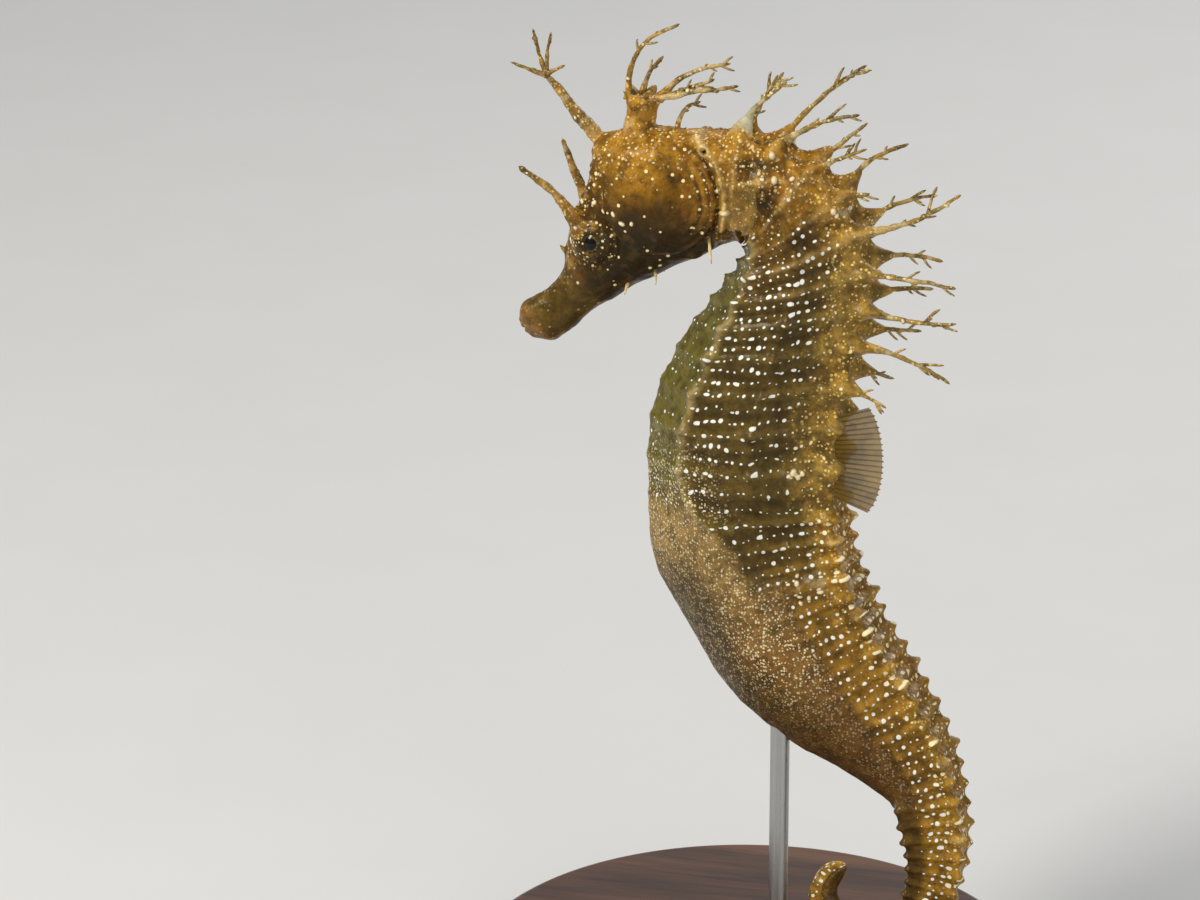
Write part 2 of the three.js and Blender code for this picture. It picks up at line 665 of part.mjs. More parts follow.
place('snout', snout(), COLOURS.skinDark);
place('head', head(), COLOURS.skin);
place('eye_left', eyeball(-1, EYE_RADIUS), COLOURS.eye, 0.1);
place('eye_right', eyeball(1, EYE_RADIUS), COLOURS.eye, 0.1);
place('coronet', coronet(), COLOURS.crest);
place('neck', trunkPart(0.05, 3.45), COLOURS.skin);
place('trunk_upper', trunkPart(3.52, 7.45), COLOURS.skinDark);
place('trunk_lower', trunkPart(7.5, TRUNK_END - 0.1), COLOURS.skinDark);
place('pouch', socketed(pouchWhole), COLOURS.pouch);
tailWhole.forEach((solid, index) => place(`tail_${index + 1}`, socketed(solid), COLOURS.skin));
place('fin_dorsal', dorsalFin(), COLOURS.fin);
place('fin_pectoral_left', pectoralFin(-1), COLOURS.fin);
place('fin_pectoral_right', pectoralFin(1), COLOURS.fin);
place('stand_base', standBase(), COLOURS.wood, 0.45);
place('stand_rod_pouch', rod(POUCH_ROD_X, pouchRodTop), COLOURS.steel, 0.3, 1);
place('stand_rod_tail', rod(TAIL_ROD_X, tailRodTop), COLOURS.steel, 0.3, 1);

export default model;
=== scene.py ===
"""A life-size long-snouted seahorse (Hippocampus guttulatus) on a plain display stand.

Shapes are worked out in millimetres in the frame of the part: +Z up, the animal faces -X and its left
side faces -Y. They become metres where a mesh is made.
"""
import math

import bpy
import numpy as np
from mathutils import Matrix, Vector


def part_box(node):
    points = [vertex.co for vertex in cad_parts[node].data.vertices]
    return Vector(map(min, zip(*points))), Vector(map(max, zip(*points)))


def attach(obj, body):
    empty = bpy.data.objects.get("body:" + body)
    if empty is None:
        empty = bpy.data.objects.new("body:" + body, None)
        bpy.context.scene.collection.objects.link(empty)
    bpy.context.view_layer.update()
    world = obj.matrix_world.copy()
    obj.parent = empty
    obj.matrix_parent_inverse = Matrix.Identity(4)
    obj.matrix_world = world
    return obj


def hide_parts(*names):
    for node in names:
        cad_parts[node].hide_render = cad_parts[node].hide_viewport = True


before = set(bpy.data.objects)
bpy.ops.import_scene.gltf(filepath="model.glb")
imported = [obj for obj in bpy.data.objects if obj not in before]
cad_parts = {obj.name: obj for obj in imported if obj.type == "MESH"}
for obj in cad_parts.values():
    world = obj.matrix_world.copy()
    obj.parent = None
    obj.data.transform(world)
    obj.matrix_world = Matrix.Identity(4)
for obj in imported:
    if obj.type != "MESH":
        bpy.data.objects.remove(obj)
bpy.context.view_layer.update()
MM = 0.001
SIDEWAYS = np.array([0.0, 1.0, 0.0])

# ------------------------------------------------------------------ head and trunk
# Stations as in the part: place, back edge x and z, belly edge x and z, half width. The place counts
# trunk rings from 0 at the back of the head to 12 at the root of the tail, and is negative on the head.
STATIONS = np.array([
    (-9.5, -31.4, 88.7, -29.1, 86.2, 1.3),
    (-9, -31.1, 90.3, -27.2, 86.1, 2.2),
    (-8, -29.6, 91.4, -26.0, 86.9, 2.3),
    (-7, -27.9, 92.4, -24.4, 88.1, 2.2),
    (-6, -26.3, 94.1, -21.9, 90.5, 2.4),
    (-5, -25.5, 96.6, -19.5, 92.1, 3.0),
    (-4, -24.9, 101.0, -17.4, 93.6, 3.7),
    (-3, -22.9, 106.0, -14.8, 95.0, 4.4),
    (-2, -21.0, 111.3, -12.0, 96.7, 5.1),
    (-1, -16.0, 113.3, -8.8, 98.2, 5.3),
    (0, -8.9, 113.6, -6.0, 99.8, 4.7),
    (2, 0.1, 112.3, -3.2, 100.6, 4.9),
    (4, 7.9, 107.1, -4.0, 97.7, 5.8),
    (6, 11.3, 98.6, -7.4, 93.0, 6.6),
    (8, 10.4, 89.5, -11.5, 86.5, 7.2),
    (10, 8.3, 79.0, -14.7, 77.4, 7.4),
    (12, 8.4, 68.8, -15.1, 67.4, 7.0),
])
LIPS = -9.5
TRUNK_END = 12

# ------------------------------------------------------------------ tail and pouch
# Bends: length along the tail and degrees turned.
TAIL_BENDS = np.array([(20, 31), (9, 2), (18, -27), (10, -32), (9, -60), (8, -80), (7, -92)], float)
TAIL_LENGTH = TAIL_BENDS[:, 0].sum()
TAIL_RINGS = 36
FIRST_RING_LENGTH = 3.1
LAST_RING_LENGTH = 2 * TAIL_LENGTH / TAIL_RINGS - FIRST_RING_LENGTH
# Place along the tail and half its depth.
TAIL_GIRTH = np.array([(0, 5.7), (20, 5.2), (36, 4.4), (50, 3.4), (62, 2.4), (73, 1.5), (81, 0.7)])
TAIL_WIDTH_SHARE = 0.94
# How many rings of the tail its rounded tip takes up.
TAIL_TIP_ROUND = 2.4
# Place along the tail, reach below the middle of the tail, and half width of the pouch.
POUCH = np.array([
    (0, 17.8, 6.8),
    (6, 18.0, 6.7),
    (12, 16.3, 6.3),
    (18, 15.4, 5.9),
    (24, 13.7, 5.3),
    (30, 11.2, 4.5),
    (36, 8.2, 3.5),
    (42, 4.6, 2.2),
    (46, 2.0, 1.0),
])

# ------------------------------------------------------------------ cross sections
# Half a section from the back to the keel, as shares (side, up) of the half sizes: back, superior
# ridge, lateral ridge, inferior ridge, keel. Roundness tells how far each face between them is rounded.
HEAD_SHAPE = np.array([(0, 1), (0.62, 0.8), (1, 0.05), (0.72, -0.68), (0, -1)])
TRUNK_SHAPE = np.array([(0, 0.95), (0.5, 1), (1, 0.2), (0.82, -0.55), (0, -1)])
TAIL_SHAPE = np.array([(0, 0.9), (0.8, 0.95), (0.92, 0), (0.8, -0.9), (0, -0.92)])
HEAD_ROUND = np.array([0.9, 0.85, 0.85, 0.9])
TRUNK_ROUND = np.array([0.3, 0.4, 0.4, 0.45])
TAIL_ROUND = np.array([0.15, 0.25, 0.25, 0.2])
POUCH_ROUND = np.array([0.15, 0.25, 0.8, 1.0])
HEAD_SHAPE_ENDS = -1
TRUNK_SHAPE_STARTS = 1

# Places round the body, millimetres between rows, and rows that round off the snout.
AROUND = 304
ROW_STEP = 0.22
CAP_ROWS = 12

# ------------------------------------------------------------------ eyes
EYE_RADIUS = 1.75
EYE_CENTRE = np.array([-21.3, 2.75, 99.9])
LID_RADIUS = 1.2
LID_THICKNESS = 0.2
LID_SQUASH = 0.86
ORBIT_EDGE = 2.2
ORBIT_FADE = 3.7

# ------------------------------------------------------------------ marks on the skin
# Rows of white dots to a ring.
TRUNK_DOT_ROWS = 3
TAIL_DOT_ROWS = 2
# The gill cover's middle and half sizes in the middle plane, and how closely its arcs follow each other.
GILL_CENTRE = np.array([-13.2, 106.0])
GILL_SIZE = np.array([7.0, 7.2])
GILL_ARCS = 38
# Place in the middle plane and radius: the gill's small opening, and raised pale nodules over the eye,
# along the girdle behind the gill and on the first rings.
GILL_OPENING = (-8.0, 112.1, 0.38)
NODULES = [
    (-23.0, 104.6, 0.26), (-21.2, 104.9, 0.3), (-19.9, 104.2, 0.3), (-18.6, 104.0, 0.28),
    (-17.4, 103.1, 0.34), (-16.1, 103.2, 0.26), (-5.1, 105.1, 0.42), (-6.0, 107.7, 0.3), (-6.9, 110.7, 0.26),
    (0.7, 109.5, 0.42), (2.8, 109.6, 0.28), (0.3, 112.4, 0.4), (1.7, 112.7, 0.4),
]
# How many places of the skin are tried for a small nodule.
NODULE_TRIES = 6500
# Dark patches, and torn pale patches of painted highlight that stand for glints of wet skin: place in the
# middle plane, then half sizes and strength, or radius and side.
DARK_PATCHES = [(-1.5, 111.2, 2.8, 0.8, 0.95), (-0.5, 107.2, 1.6, 2.1, 0.85), (4.6, 103.6, 1.8, 1.3, 0.6)]
GLINT_PATCHES = [
    (9.2, 106.3, 1.7, -1), (5.6, 59.0, 3.0, -1), (3.5, 73.5, 2.0, -1), (8.6, 105.0, 1.5, 1),
    (4.0, 64.0, 2.4, 1),
]

# ------------------------------------------------------------------ fins
FIN_ROWS = 36
DORSAL_RAYS = 19
# First ring under the dorsal fin and how many rings it spans, its height and how far its edge fans out.
DORSAL_FIRST_RING = 10.0
DORSAL_RINGS = 2.0
DORSAL_HEIGHT = 6.5
DORSAL_FAN = 3.4
PECTORAL_RAYS = 15
# The pectoral fin of the +Y side, mirrored for the other: the middle of its foot, its width at foot and edge,
# its length, the lean of its foot line and its angle from the body in degrees.
PECTORAL_FOOT = (-4.9, 4.7, 106.2)
PECTORAL_WIDTHS = (3.0, 6.6)
PECTORAL_LENGTH = 4.8
PECTORAL_TILT = -8
PECTORAL_SPREAD = 26

# ------------------------------------------------------------------ stand
BASE_CENTRE = (-2.0, 0.0)
BASE_RADIUS = 37.0
BASE_HEIGHT = 6.0
ROD_RADIUS = 1.2
POUCH_ROD_X = 1.5
TAIL_ROD_X = 14.6


# ================================================================== numbers
def smooth_value(at, keys, values):
    """A smooth curve through values at unevenly spaced keys, at an array of places."""
    at = np.asarray(at, float)
    i = np.clip(np.searchsorted(keys, at) - 1, 0, len(keys) - 2)
    after = np.minimum(np.arange(len(keys)) + 1, len(keys) - 1)
    before = np.maximum(np.arange(len(keys)) - 1, 0)
    slope = (values[after] - values[before]) / (keys[after] - keys[before])
    span = keys[i + 1] - keys[i]
    f = (at - keys[i]) / span
    share = f * f * (3 - 2 * f)
    leave = f * (1 - f) ** 2 * span
    arrive = f * f * (f - 1) * span
    return values[i] * (1 - share) + values[i + 1] * share + slope[i] * leave + slope[i + 1] * arrive


def rise(low, high, value):
    """A smooth step from 0 at low to 1 at high."""
    f = np.clip((value - low) / (high - low), 0, 1)
    return f * f * (3 - 2 * f)


def fall(low, high, value):
    """A smooth step from 1 at low to 0 at high."""
    return 1 - rise(low, high, value)


def wave(turns):
    """A wave from 0 at whole turns to 1 half-way between them."""
    return 0.5 - 0.5 * np.cos(2 * np.pi * turns)


def bump(value, middle, width):
    """1 at the middle, falling away as a bell of this width."""
    return np.exp(-(((value - middle) / width) ** 2))


def unit(vectors):
    return vectors / np.maximum(np.linalg.norm(vectors, axis=-1, keepdims=True), 1e-12)


def circle(count):
    """Angles once round."""
    return np.linspace(0, 2 * np.pi, count, endpoint=False)


def swung(angle, first, second):
    """The way at an angle from the first of two crossed ways towards the second."""
    angle = np.asarray(angle)[..., None]
    return np.cos(angle) * first + np.sin(angle) * second


def hashed(cells, seed):
    """A steady random number from 0 to 1 for each whole-numbered cell."""
    x, y, z = (cells[..., k].astype(np.int64) & 0xFFFFFFFF for k in range(3))
    h = (x * 374761393 + y * 668265263 + z * 2246822519 + seed * 3266489917) & 0xFFFFFFFF
    h = ((h ^ (h >> 15)) * 2246822519) & 0xFFFFFFFF
    h = ((h ^ (h >> 13)) * 3266489917) & 0xFFFFFFFF
    return (h ^ (h >> 16)) / 2**32


def noise(points, size, seed=0):
    """Smooth noise from -1 to 1 with lumps of this size."""
    p = np.asarray(points, float) / size
    cell = np.floor(p)
    f = p - cell
    f = f * f * (3 - 2 * f)
    total = 0.0
    for corner in np.ndindex(2, 2, 2):
        weight = np.prod(np.where(corner, f, 1 - f), axis=-1)
        total = total + weight * hashed(cell + np.array(corner), seed)
    return 2 * total - 1


def lumps(points, size, seed=0):
    """Round lumps from 0 to 1, one in each jittered cell of this size, of uneven height."""
    p = np.asarray(points, float) / size
    cell = np.floor(p)
    height = 0.0
    for step in np.ndindex(3, 3, 3):
        near = cell + np.array(step) - 1
        middle = near + 0.5 + 0.6 * np.stack([hashed(near, seed + k) - 0.5 for k in range(3)], -1)
        apart = np.linalg.norm(p - middle, axis=-1)
        height = np.maximum(height, hashed(near, seed + 3) * np.exp(-((apart / 0.3) ** 2)))
    return height


def fractal(points, size, seed=0, octaves=3):
    """Noise from -1 to 1 with finer noise laid over it."""
    total = sum(noise(points, size / 2**k, seed + k) / 2**k for k in range(octaves))
    return total / (2 - 0.5 ** (octaves - 1))


# ================================================================== the line of the body
def edges(at):
    """The back edge, the belly edge and half the width of head and trunk."""
    at = np.minimum(at, TRUNK_END)
    columns = [smooth_value(at, STATIONS[:, 0], STATIONS[:, k]) for k in range(1, 6)]
    return np.stack(columns[0:2], -1), np.stack(columns[2:4], -1), columns[4]


def direction(degrees):
    turn = np.radians(degrees)
    return np.stack([np.cos(turn), np.sin(turn)], -1)


def tail_axis(along):
    """The middle of the tail and its heading, along millimetres from its root."""
    back, belly, _ = edges(np.array([float(TRUNK_END)]))
    up = unit(back - belly)[0]
    place = back[0] - up * TAIL_GIRTH[0, 1]
    heading = math.degrees(math.atan2(up[1], up[0])) - 90
    starts, places, headings = [0.0], [place], [heading]

    def onward(place, heading, length, turn):
        chord = length * np.sinc(turn / 360)
        return place + chord[..., None] * direction(heading + turn / 2)

    for length, turn in TAIL_BENDS:
        places.append(onward(places[-1], headings[-1], np.array(length), turn))
        headings.append(headings[-1] + turn)
        starts.append(starts[-1] + length)
    i = np.clip(np.searchsorted(starts, along) - 1, 0, len(TAIL_BENDS) - 1)
    length = along - np.array(starts)[i]
    turn = TAIL_BENDS[i, 1] * length / TAIL_BENDS[i, 0]
    place = onward(np.array(places)[i], np.array(headings)[i], length, turn)
    return place, np.array(headings)[i] + turn


def ring_place(ring):
    """Millimetres along the tail to the start of a ring; each ring is a little shorter than the last."""
    shrink = (FIRST_RING_LENGTH - LAST_RING_LENGTH) / TAIL_RINGS
    return ring * FIRST_RING_LENGTH - shrink * ring * ring / 2


class Rows:
    """The body's frame at each row: back edge, the way from belly to back, and its sizes."""

    def __init__(self, at):
        self.at = at
        back, belly, self.half = edges(at)
        self.depth = np.linalg.norm(back - belly, axis=1)
        self.along = along = ring_place(np.maximum(at - TRUNK_END, 0))
        self.tail_half = smooth_value(along, *TAIL_GIRTH.T)
        floor = TAIL_SHAPE[4, 1] * -self.tail_half
        on_pouch = np.minimum(along, POUCH[-1, 0])
        reach, self.pouch_half = (smooth_value(on_pouch, POUCH[:, 0], POUCH[:, k]) for k in (1, 2))
        self.reach = np.maximum(reach, floor)
        self.pouch = rise(0, 2.5, self.reach - floor)
        place, heading = tail_axis(along)
        on_tail = at > TRUNK_END
        up = direction(heading + 90)
        tail_back = place + up * self.tail_half[:, None]
        self.up = np.where(on_tail[:, None], up, unit(back - belly))
        self.back = np.where(on_tail[:, None], tail_back, back)
        self.depth = np.where(on_tail, self.tail_half + self.reach, self.depth)
        self.half = np.where(on_tail, self.pouch_half, self.half)
        self.tail = rise(TRUNK_END - 0.6, TRUNK_END + 1.0, at)
        self.trunk = rise(HEAD_SHAPE_ENDS, TRUNK_SHAPE_STARTS, at)

    def corners(self):
        """Half a section's corners at each row, as side and down from the back edge."""
        f = self.trunk[:, None, None]
        shares = HEAD_SHAPE * (1 - f) + TRUNK_SHAPE * f
        down = (1 - shares[..., 1]) * self.depth[:, None] / 2
        body = np.stack([shares[..., 0] * self.half[:, None], down], -1)
        h = self.tail_half[:, None]
        tail = np.stack([TAIL_SHAPE[:, 0] * h * TAIL_WIDTH_SHARE, (1 - TAIL_SHAPE[:, 1]) * h], -1)
        p = self.pouch[:, None]
        widest = np.stack([self.pouch_half, self.tail_half + self.reach * 0.5], -1)
        tail[:, 3] = tail[:, 3] * (1 - p) + widest * p
        tail[:, 4, 1] = self.tail_half + self.reach
        f = self.tail[:, None, None]
        return body * (1 - f) + tail * f

    def roundness(self):
        """How far each face between two corners is rounded, at each row."""
        f = self.trunk[:, None]
        p = self.pouch[:, None]
        body = HEAD_ROUND * (1 - f) + TRUNK_ROUND * f
        tail = TAIL_ROUND * (1 - p) + POUCH_ROUND * p
        f = self.tail[:, None]
        tip = rise(TAIL_RINGS - 5, TAIL_RINGS - 1, self.at - TRUNK_END)[:, None]
        return (body * (1 - f) + tail * f) * (1 - tip) + tip

    def ring_phase(self):
        """Whole numbers on the rings of the trunk and in the middle of the rings of the tail."""
        first_tail = TRUNK_END + 0.5
        between = TRUNK_END - 1 + (self.at - TRUNK_END + 1) / (first_tail - TRUNK_END + 1)
        behind = np.where(self.at < first_tail, between, self.at - 0.5)
        return np.where(self.at < TRUNK_END - 1, self.at, behind)


def outline(rows, place):
    """Points round each row's section, as side and down; place runs 0 to 8 from the back by the left."""
    half = rows.corners()
    left = half * np.array([-1, 1])
    ring = np.concatenate([left, half[:, 3:0:-1]], 1)
    k = np.floor(place).astype(int)
    f = (place - k)[None, :, None]
    before, a, b, after = (ring[:, (k + step) % 8] for step in (-1, 0, 1, 2))
    straight = a * (1 - f) + b * f
    curved = 0.5 * (
        2 * a
        + (b - before) * f
        + (2 * before - 5 * a + 4 * b - after) * f**2
        + (3 * a - before - 3 * b + after) * f**3
    )
    rho = rows.roundness()
    rho = np.concatenate([rho, rho[:, ::-1]], 1)[:, k][..., None]
    return straight * (1 - rho) + curved * rho


def body_points(rows, place):
    """The undecorated surface: an array of points by row and place."""
    side_down = outline(rows, place)
    flat = rows.back[:, None] - rows.up[:, None] * side_down[..., 1:]
    return np.stack([flat[..., 0], side_down[..., 0], flat[..., 1]], -1)


def grid_normals(points):
    """Outward normals of a grid of points whose second index runs round the body."""
    along = np.gradient(points, axis=0)
    wrapped = np.concatenate([points[:, -1:], points, points[:, :1]], 1)
    around = (wrapped[:, 2:] - wrapped[:, :-2]) / 2
    return unit(np.cross(around, along))


# ================================================================== skin of head, trunk and tail
def even_rows():
    """Rows spaced so that neither the back nor the belly edge has gaps wider than the row step."""
    fine = np.linspace(LIPS, TRUNK_END + TAIL_RINGS, 4000)
    rows = Rows(fine)
    belly = rows.back - rows.up * rows.depth[:, None]
    steps = np.maximum(*(np.linalg.norm(np.diff(edge, axis=0), axis=1) for edge in (rows.back, belly)))
    length = np.concatenate([[0], np.cumsum(steps)])
    return np.interp(np.arange(0, length[-1], ROW_STEP), length, fine)


def mirrored(point, side):
    return np.array([point[0], point[1] * side, point[2]])


def from_axis(points, x, z):
    """Distance from an axis across the body at this place of its middle plane."""
    return np.hypot(points[..., 0] - x, points[..., 2] - z)


def eye_distance(points):
    return from_axis(points, EYE_CENTRE[0], EYE_CENTRE[2])


def lid_height(distance):
    """How far from the middle plane the skin over the eye stands, by distance from the eye's axis."""
    over_ball = np.sqrt(np.maximum((EYE_RADIUS + LID_THICKNESS) ** 2 - LID_RADIUS**2, 0))
    beyond = distance - LID_RADIUS
    return EYE_CENTRE[1] + over_ball + 0.05 - 0.38 * beyond - 0.22 * beyond**2


class Skin:
    """The swept skin: its points, and what each point needs for relief and colour."""

    def __init__(self):
        at = even_rows()
        self.rows = Rows(at)
        self.at = at[:, None]
        self.tail = self.rows.tail[:, None]
        self.place = np.arange(AROUND) * 8 / AROUND
        self.half_place = np.minimum(self.place, 8 - self.place)[None]
        self.smooth = body_points(self.rows, self.place)
        self.normals = grid_normals(self.smooth)
        gaps = np.linalg.norm(np.diff(self.smooth, axis=1, append=self.smooth[:, :1]), axis=2)
        reach = np.cumsum(gaps, axis=1) - gaps
        self.girth = np.where(self.place <= 4, reach, reach - gaps.sum(1, keepdims=True))
        to_back = self.rows.back[:, None] - self.smooth[..., [0, 2]]
        self.down = np.sum(to_back * self.rows.up[:, None], -1) / self.rows.depth[:, None]

        self.phase = self.rows.ring_phase()[:, None] * np.ones_like(self.girth)
        self.on_ring = np.cos(np.pi * self.phase) ** 2
        self.enlarged = (self.at > TRUNK_END) & (np.round(self.phase) % 4 == 1)
        speed = np.linalg.norm(np.gradient(self.smooth, axis=0), axis=2)
        turn = np.gradient(self.rows.ring_phase())[:, None]
        self.ring_length = np.clip(speed / np.maximum(turn, 1e-6), 0.8, 8)
        beyond = np.maximum(self.phase - TRUNK_END, 0)
        self.dot_rows = np.minimum(self.phase, TRUNK_END) * TRUNK_DOT_ROWS + beyond * TAIL_DOT_ROWS
        self.row_length = self.ring_length / np.where(beyond > 0, TAIL_DOT_ROWS, TRUNK_DOT_ROWS)

        along = (self.smooth[..., 0] - GILL_CENTRE[0]) / GILL_SIZE[0]
        upward = (self.smooth[..., 2] - GILL_CENTRE[1]) / GILL_SIZE[1]
        self.gill = np.hypot(along, upward)
        self.gill_rear = rise(0.25, 0.75, along)

    def from_corner(self, corner):
        """Distance over the skin from a ridge, in millimetres, on both sides of the body."""
        index = int(corner * AROUND / 8)
        left = np.abs(self.girth - self.girth[:, index : index + 1])
        right = np.abs(self.girth - self.girth[:, (AROUND - index) % AROUND][:, None])
        return np.minimum(left, right)

    def relief(self):
        """How far the skin stands out from the plain sections, in millimetres."""
        rows, at, p, tail, on_ring = self.rows, self.at, self.half_place, self.tail, self.on_ring
        superior, lateral, inferior, keel = (self.from_corner(corner) for corner in (1, 2, 3, 4))
        from_ring = np.abs(self.phase - np.round(self.phase)) * self.ring_length
        ringed = rise(0.5, 1.5, at) * fall(42, 46, at)
        pouch = rows.pouch[:, None] * tail
        scale = np.where(at > TRUNK_END, rows.tail_half[:, None] / TAIL_GIRTH[0, 1], 1.0)
        bony = 1 - pouch * rise(2.35, 2.7, p)
        neck = fall(4.5, 6.5, at)

        def ridge(distance, width, height):
            return height * bump(distance, 0, width)

        def knob(distance, height, width):
            return height * np.exp(-((np.hypot(distance, from_ring) / width) ** 1.25))

        # A low swelling on every ring, and wrinkles between the rings on the flanks.
        relief = ringed * bony * (0.3 * on_ring**2 - 0.09) * (1 - 0.2 * tail) * scale**0.5
        relief += ringed * fall(0.9, 1.3, p) * (0.28 * on_ring**3 - 0.06) * scale
        wrinkles = 0.5 + 0.5 * np.cos(2 * np.pi * self.dot_rows)
        relief += ringed * bony * 0.09 * (wrinkles - 0.5) * rise(1.0, 1.4, p) * scale
        # Three ridges on each side, with a knob where a ring crosses them.
        relief += ringed * ridge(superior, 1.0, 0.2) * scale
        superior_height = (1.15 + 0.4 * self.enlarged - 0.5 * tail) * scale
        relief += ringed * knob(superior, superior_height, 0.95 * scale**0.5)
        lateral_height = 0.45 + 0.2 * self.enlarged + 0.2 * neck
        lateral_ridge = ridge(lateral, 0.7, 0.16 + 0.1 * neck) + knob(lateral, lateral_height, 0.6)
        relief += ringed * fall(26, 30, at) * lateral_ridge * scale
        relief += ringed * bony * ridge(inferior, 0.8, 0.22) * scale
        relief += ringed * bony * knob(inferior, (0.7 + 0.3 * self.enlarged) * scale, 0.8 * scale**0.5)
        # The throat's knobs, the hollow along the back, the crease over the pouch and the keel.
        relief += rise(0.5, 1.2, at) * fall(5, 7, at) * knob(keel, 0.55, 0.8)
        relief -= ringed * bump(p, 0, 0.55) * np.minimum(rows.half[:, None] * 0.08, 0.4)
        relief -= pouch * bump(p, 2.42, 0.17) * 0.4 * rise(12.5, 15, at)
        relief += 0.3 * (rise(5, 9, at) * fall(43, 46, at)) * bump(keel, 0, 1.3)

        relief += self.head_relief()
        # Lumps: coarse on cheek and neck, drawn up along the crest, and fine on the rings.
        golden = fall(4, 8, at) * rise(-5.5, -3.5, at) * fall(1.4, 2.6, p)
        relief += golden * (0.45 * lumps(self.smooth, 1.6, 61) + 0.2 * lumps(self.smooth, 0.8, 71))
        crest = rise(-3, -2.2, at) * fall(1.0, 2.0, at) * fall(0.25, 0.7, p)
        relief += crest * 0.6 * lumps(self.smooth * np.array([1, 0.6, 0.3]), 1.5, 65)
        relief += 0.12 * lumps(self.smooth, 1.1, 81) * ringed * bony * scale
        rough = fractal(self.smooth, 3.2, 11) * 0.16 + fractal(self.smooth, 0.9, 21, 2) * 0.05
        return relief + rough * np.clip(scale, 0.35, 1)

    def head_relief(self):
        """The domed gill cover with its arcs, groove and knobbly girdle, and the ridges of the head."""
        at, p, gill, rear = self.at, self.half_place, self.gill, self.gill_rear
        dome = 0.55 * fall(0.3, 1.0, gill)
        striae = 0.1 * np.cos(gill * GILL_ARCS) * bump(gill, 0.76, 0.2) * rear
        rim = 0.2 * bump(gill, 0.95, 0.035) - 0.5 * bump(gill, 1.03, 0.045)
        girdle_knobs = 0.6 + 0.6 * np.cos(self.smooth[..., 2] * 2.2) ** 4
        step = rim * (0.25 + 0.75 * rear) + 0.45 * bump(gill, 1.16, 0.05) * rear * girdle_knobs
        brow = 0.35 * bump(at, -3.2, 0.9) * bump(p, 0.95, 0.35)
        neck_ridge = 0.45 * bump(p, 1.1, 0.25) * rise(-2.2, -1.2, at)
        jaw = -0.2 * bump(p, 3.05, 0.22) * rise(-7.5, -5.5, at) * fall(-1.4, -0.8, at)
        snout_ridge = 0.15 * bump(p, 0.0, 0.5) * rise(-8.5, -7.5, at) * fall(-5, -4, at)
        return dome + striae + step + fall(-0.6, 0.4, at) * (brow + neck_ridge + jaw + snout_ridge)

    def sculpted(self):
        """The skin's points with relief, gill opening, feet of growths, eye sockets and rounded tip."""
        points = self.smooth + self.normals * self.relief()[..., None]
        x, z, radius = GILL_OPENING
        apart = from_axis(points, x, z)
        lip = 0.3 * bump(apart, radius * 1.5, radius * 0.6) - 0.6 * bump(apart, 0, radius * 0.8)
        points += self.normals * ((np.abs(self.smooth[..., 1]) > 1) * lip)[..., None]

        for root, way, height, width in growth_roots():
            to_root = points - root
            beside = np.linalg.norm(to_root - (to_root @ way)[..., None] * way, axis=-1)
            near = np.linalg.norm(to_root, axis=-1) < 3.5 * width + 1
            facing = np.clip(self.normals @ way, 0, 1) ** 0.5
            points += way * (height * near * facing * np.exp(-((beside / width) ** 1.4)))[..., None]

        distance = eye_distance(points)
        y = points[..., 1]
        round_eye = (self.at < -1) & (distance < ORBIT_FADE) & (np.abs(y) > 1.2)
        weight = np.where(round_eye, fall(ORBIT_EDGE, ORBIT_FADE, distance), 0)
        sunk = 0.35 * fall(ORBIT_EDGE - 0.35, ORBIT_EDGE - 0.05, distance)
        points[..., 1] = y * (1 - weight) + np.sign(y) * (lid_height(distance) - sunk) * weight

        left = (self.rows.at[-1] - self.rows.at) / TAIL_TIP_ROUND
        shrink = np.sqrt(np.clip(left * (2 - left), 0.02, 1)) ** (left < 1)
        middle = points.mean(1, keepdims=True)
        return middle + (points - middle) * shrink[:, None, None]


def growth_roots():
    """Where the skin is drawn up round the foot of a growth: the foot, its direction, height and width."""
    paths = [(back_filament_path(*row[:5]), 1.5, 0.95) for row in BACK_FILAMENTS]
    paths.append((FRONTAL_FROND, 1.7, 1.35))
    paths += [(eye_spine_path(*row), 1.3, 1.1) for row in EYE_SPINES]
    paths += [((CORONET_FOOT, CORONET_TOP), 1.0, 2.3), (nose_spine_path(), 0.7, 0.6)]
    return [(path[0], unit(path[1] - path[0]), height, width) for path, height, width in paths]


# ================================================================== mesh helpers
class Builder:
    """Gathers closed pieces of skin into one mesh, with colours and masks at the vertices."""

    def __init__(self):
        self.points, self.faces, self.tints, self.masks, self.places = [], [], [], [], []
        self.count = 0

    def add(self, points, faces, tint, mask, place=None):
        flat = points.reshape(-1, 3)
        n = len(flat)
        self.points.append(flat)
        self.faces.extend((np.asarray(f) + self.count) for f in faces)
        self.tints.append(np.broadcast_to(tint, points.shape).reshape(-1, 3))
        self.masks.append(np.broadcast_to(mask, points.shape[:-1] + (4,)).reshape(-1, 4))
        self.places.append(np.zeros((n, 3)) if place is None else place.reshape(-1, 3))
        self.count += n

    def make(self, name):
        obj = mesh_object(name, np.concatenate(self.points), self.faces)
        mesh = obj.data
        tints = np.column_stack([np.concatenate(self.tints), np.ones(self.count)])
        write_attribute(mesh, "tint", "FLOAT_COLOR", tints)
        write_attribute(mesh, "zone", "FLOAT_COLOR", np.concatenate(self.masks))
        write_attribute(mesh, "skin_place", "FLOAT_VECTOR", np.concatenate(self.places))
        return obj


def write_attribute(mesh, name, kind, values):
    attribute = mesh.attributes.new(name, kind, "POINT")
    field = "color" if kind == "FLOAT_COLOR" else "vector"
    attribute.data.foreach_set(field, np.ascontiguousarray(values, np.float32).ravel())


def linked(name, data):
    obj = bpy.data.objects.new(name, data)
    bpy.context.scene.collection.objects.link(obj)
    return obj


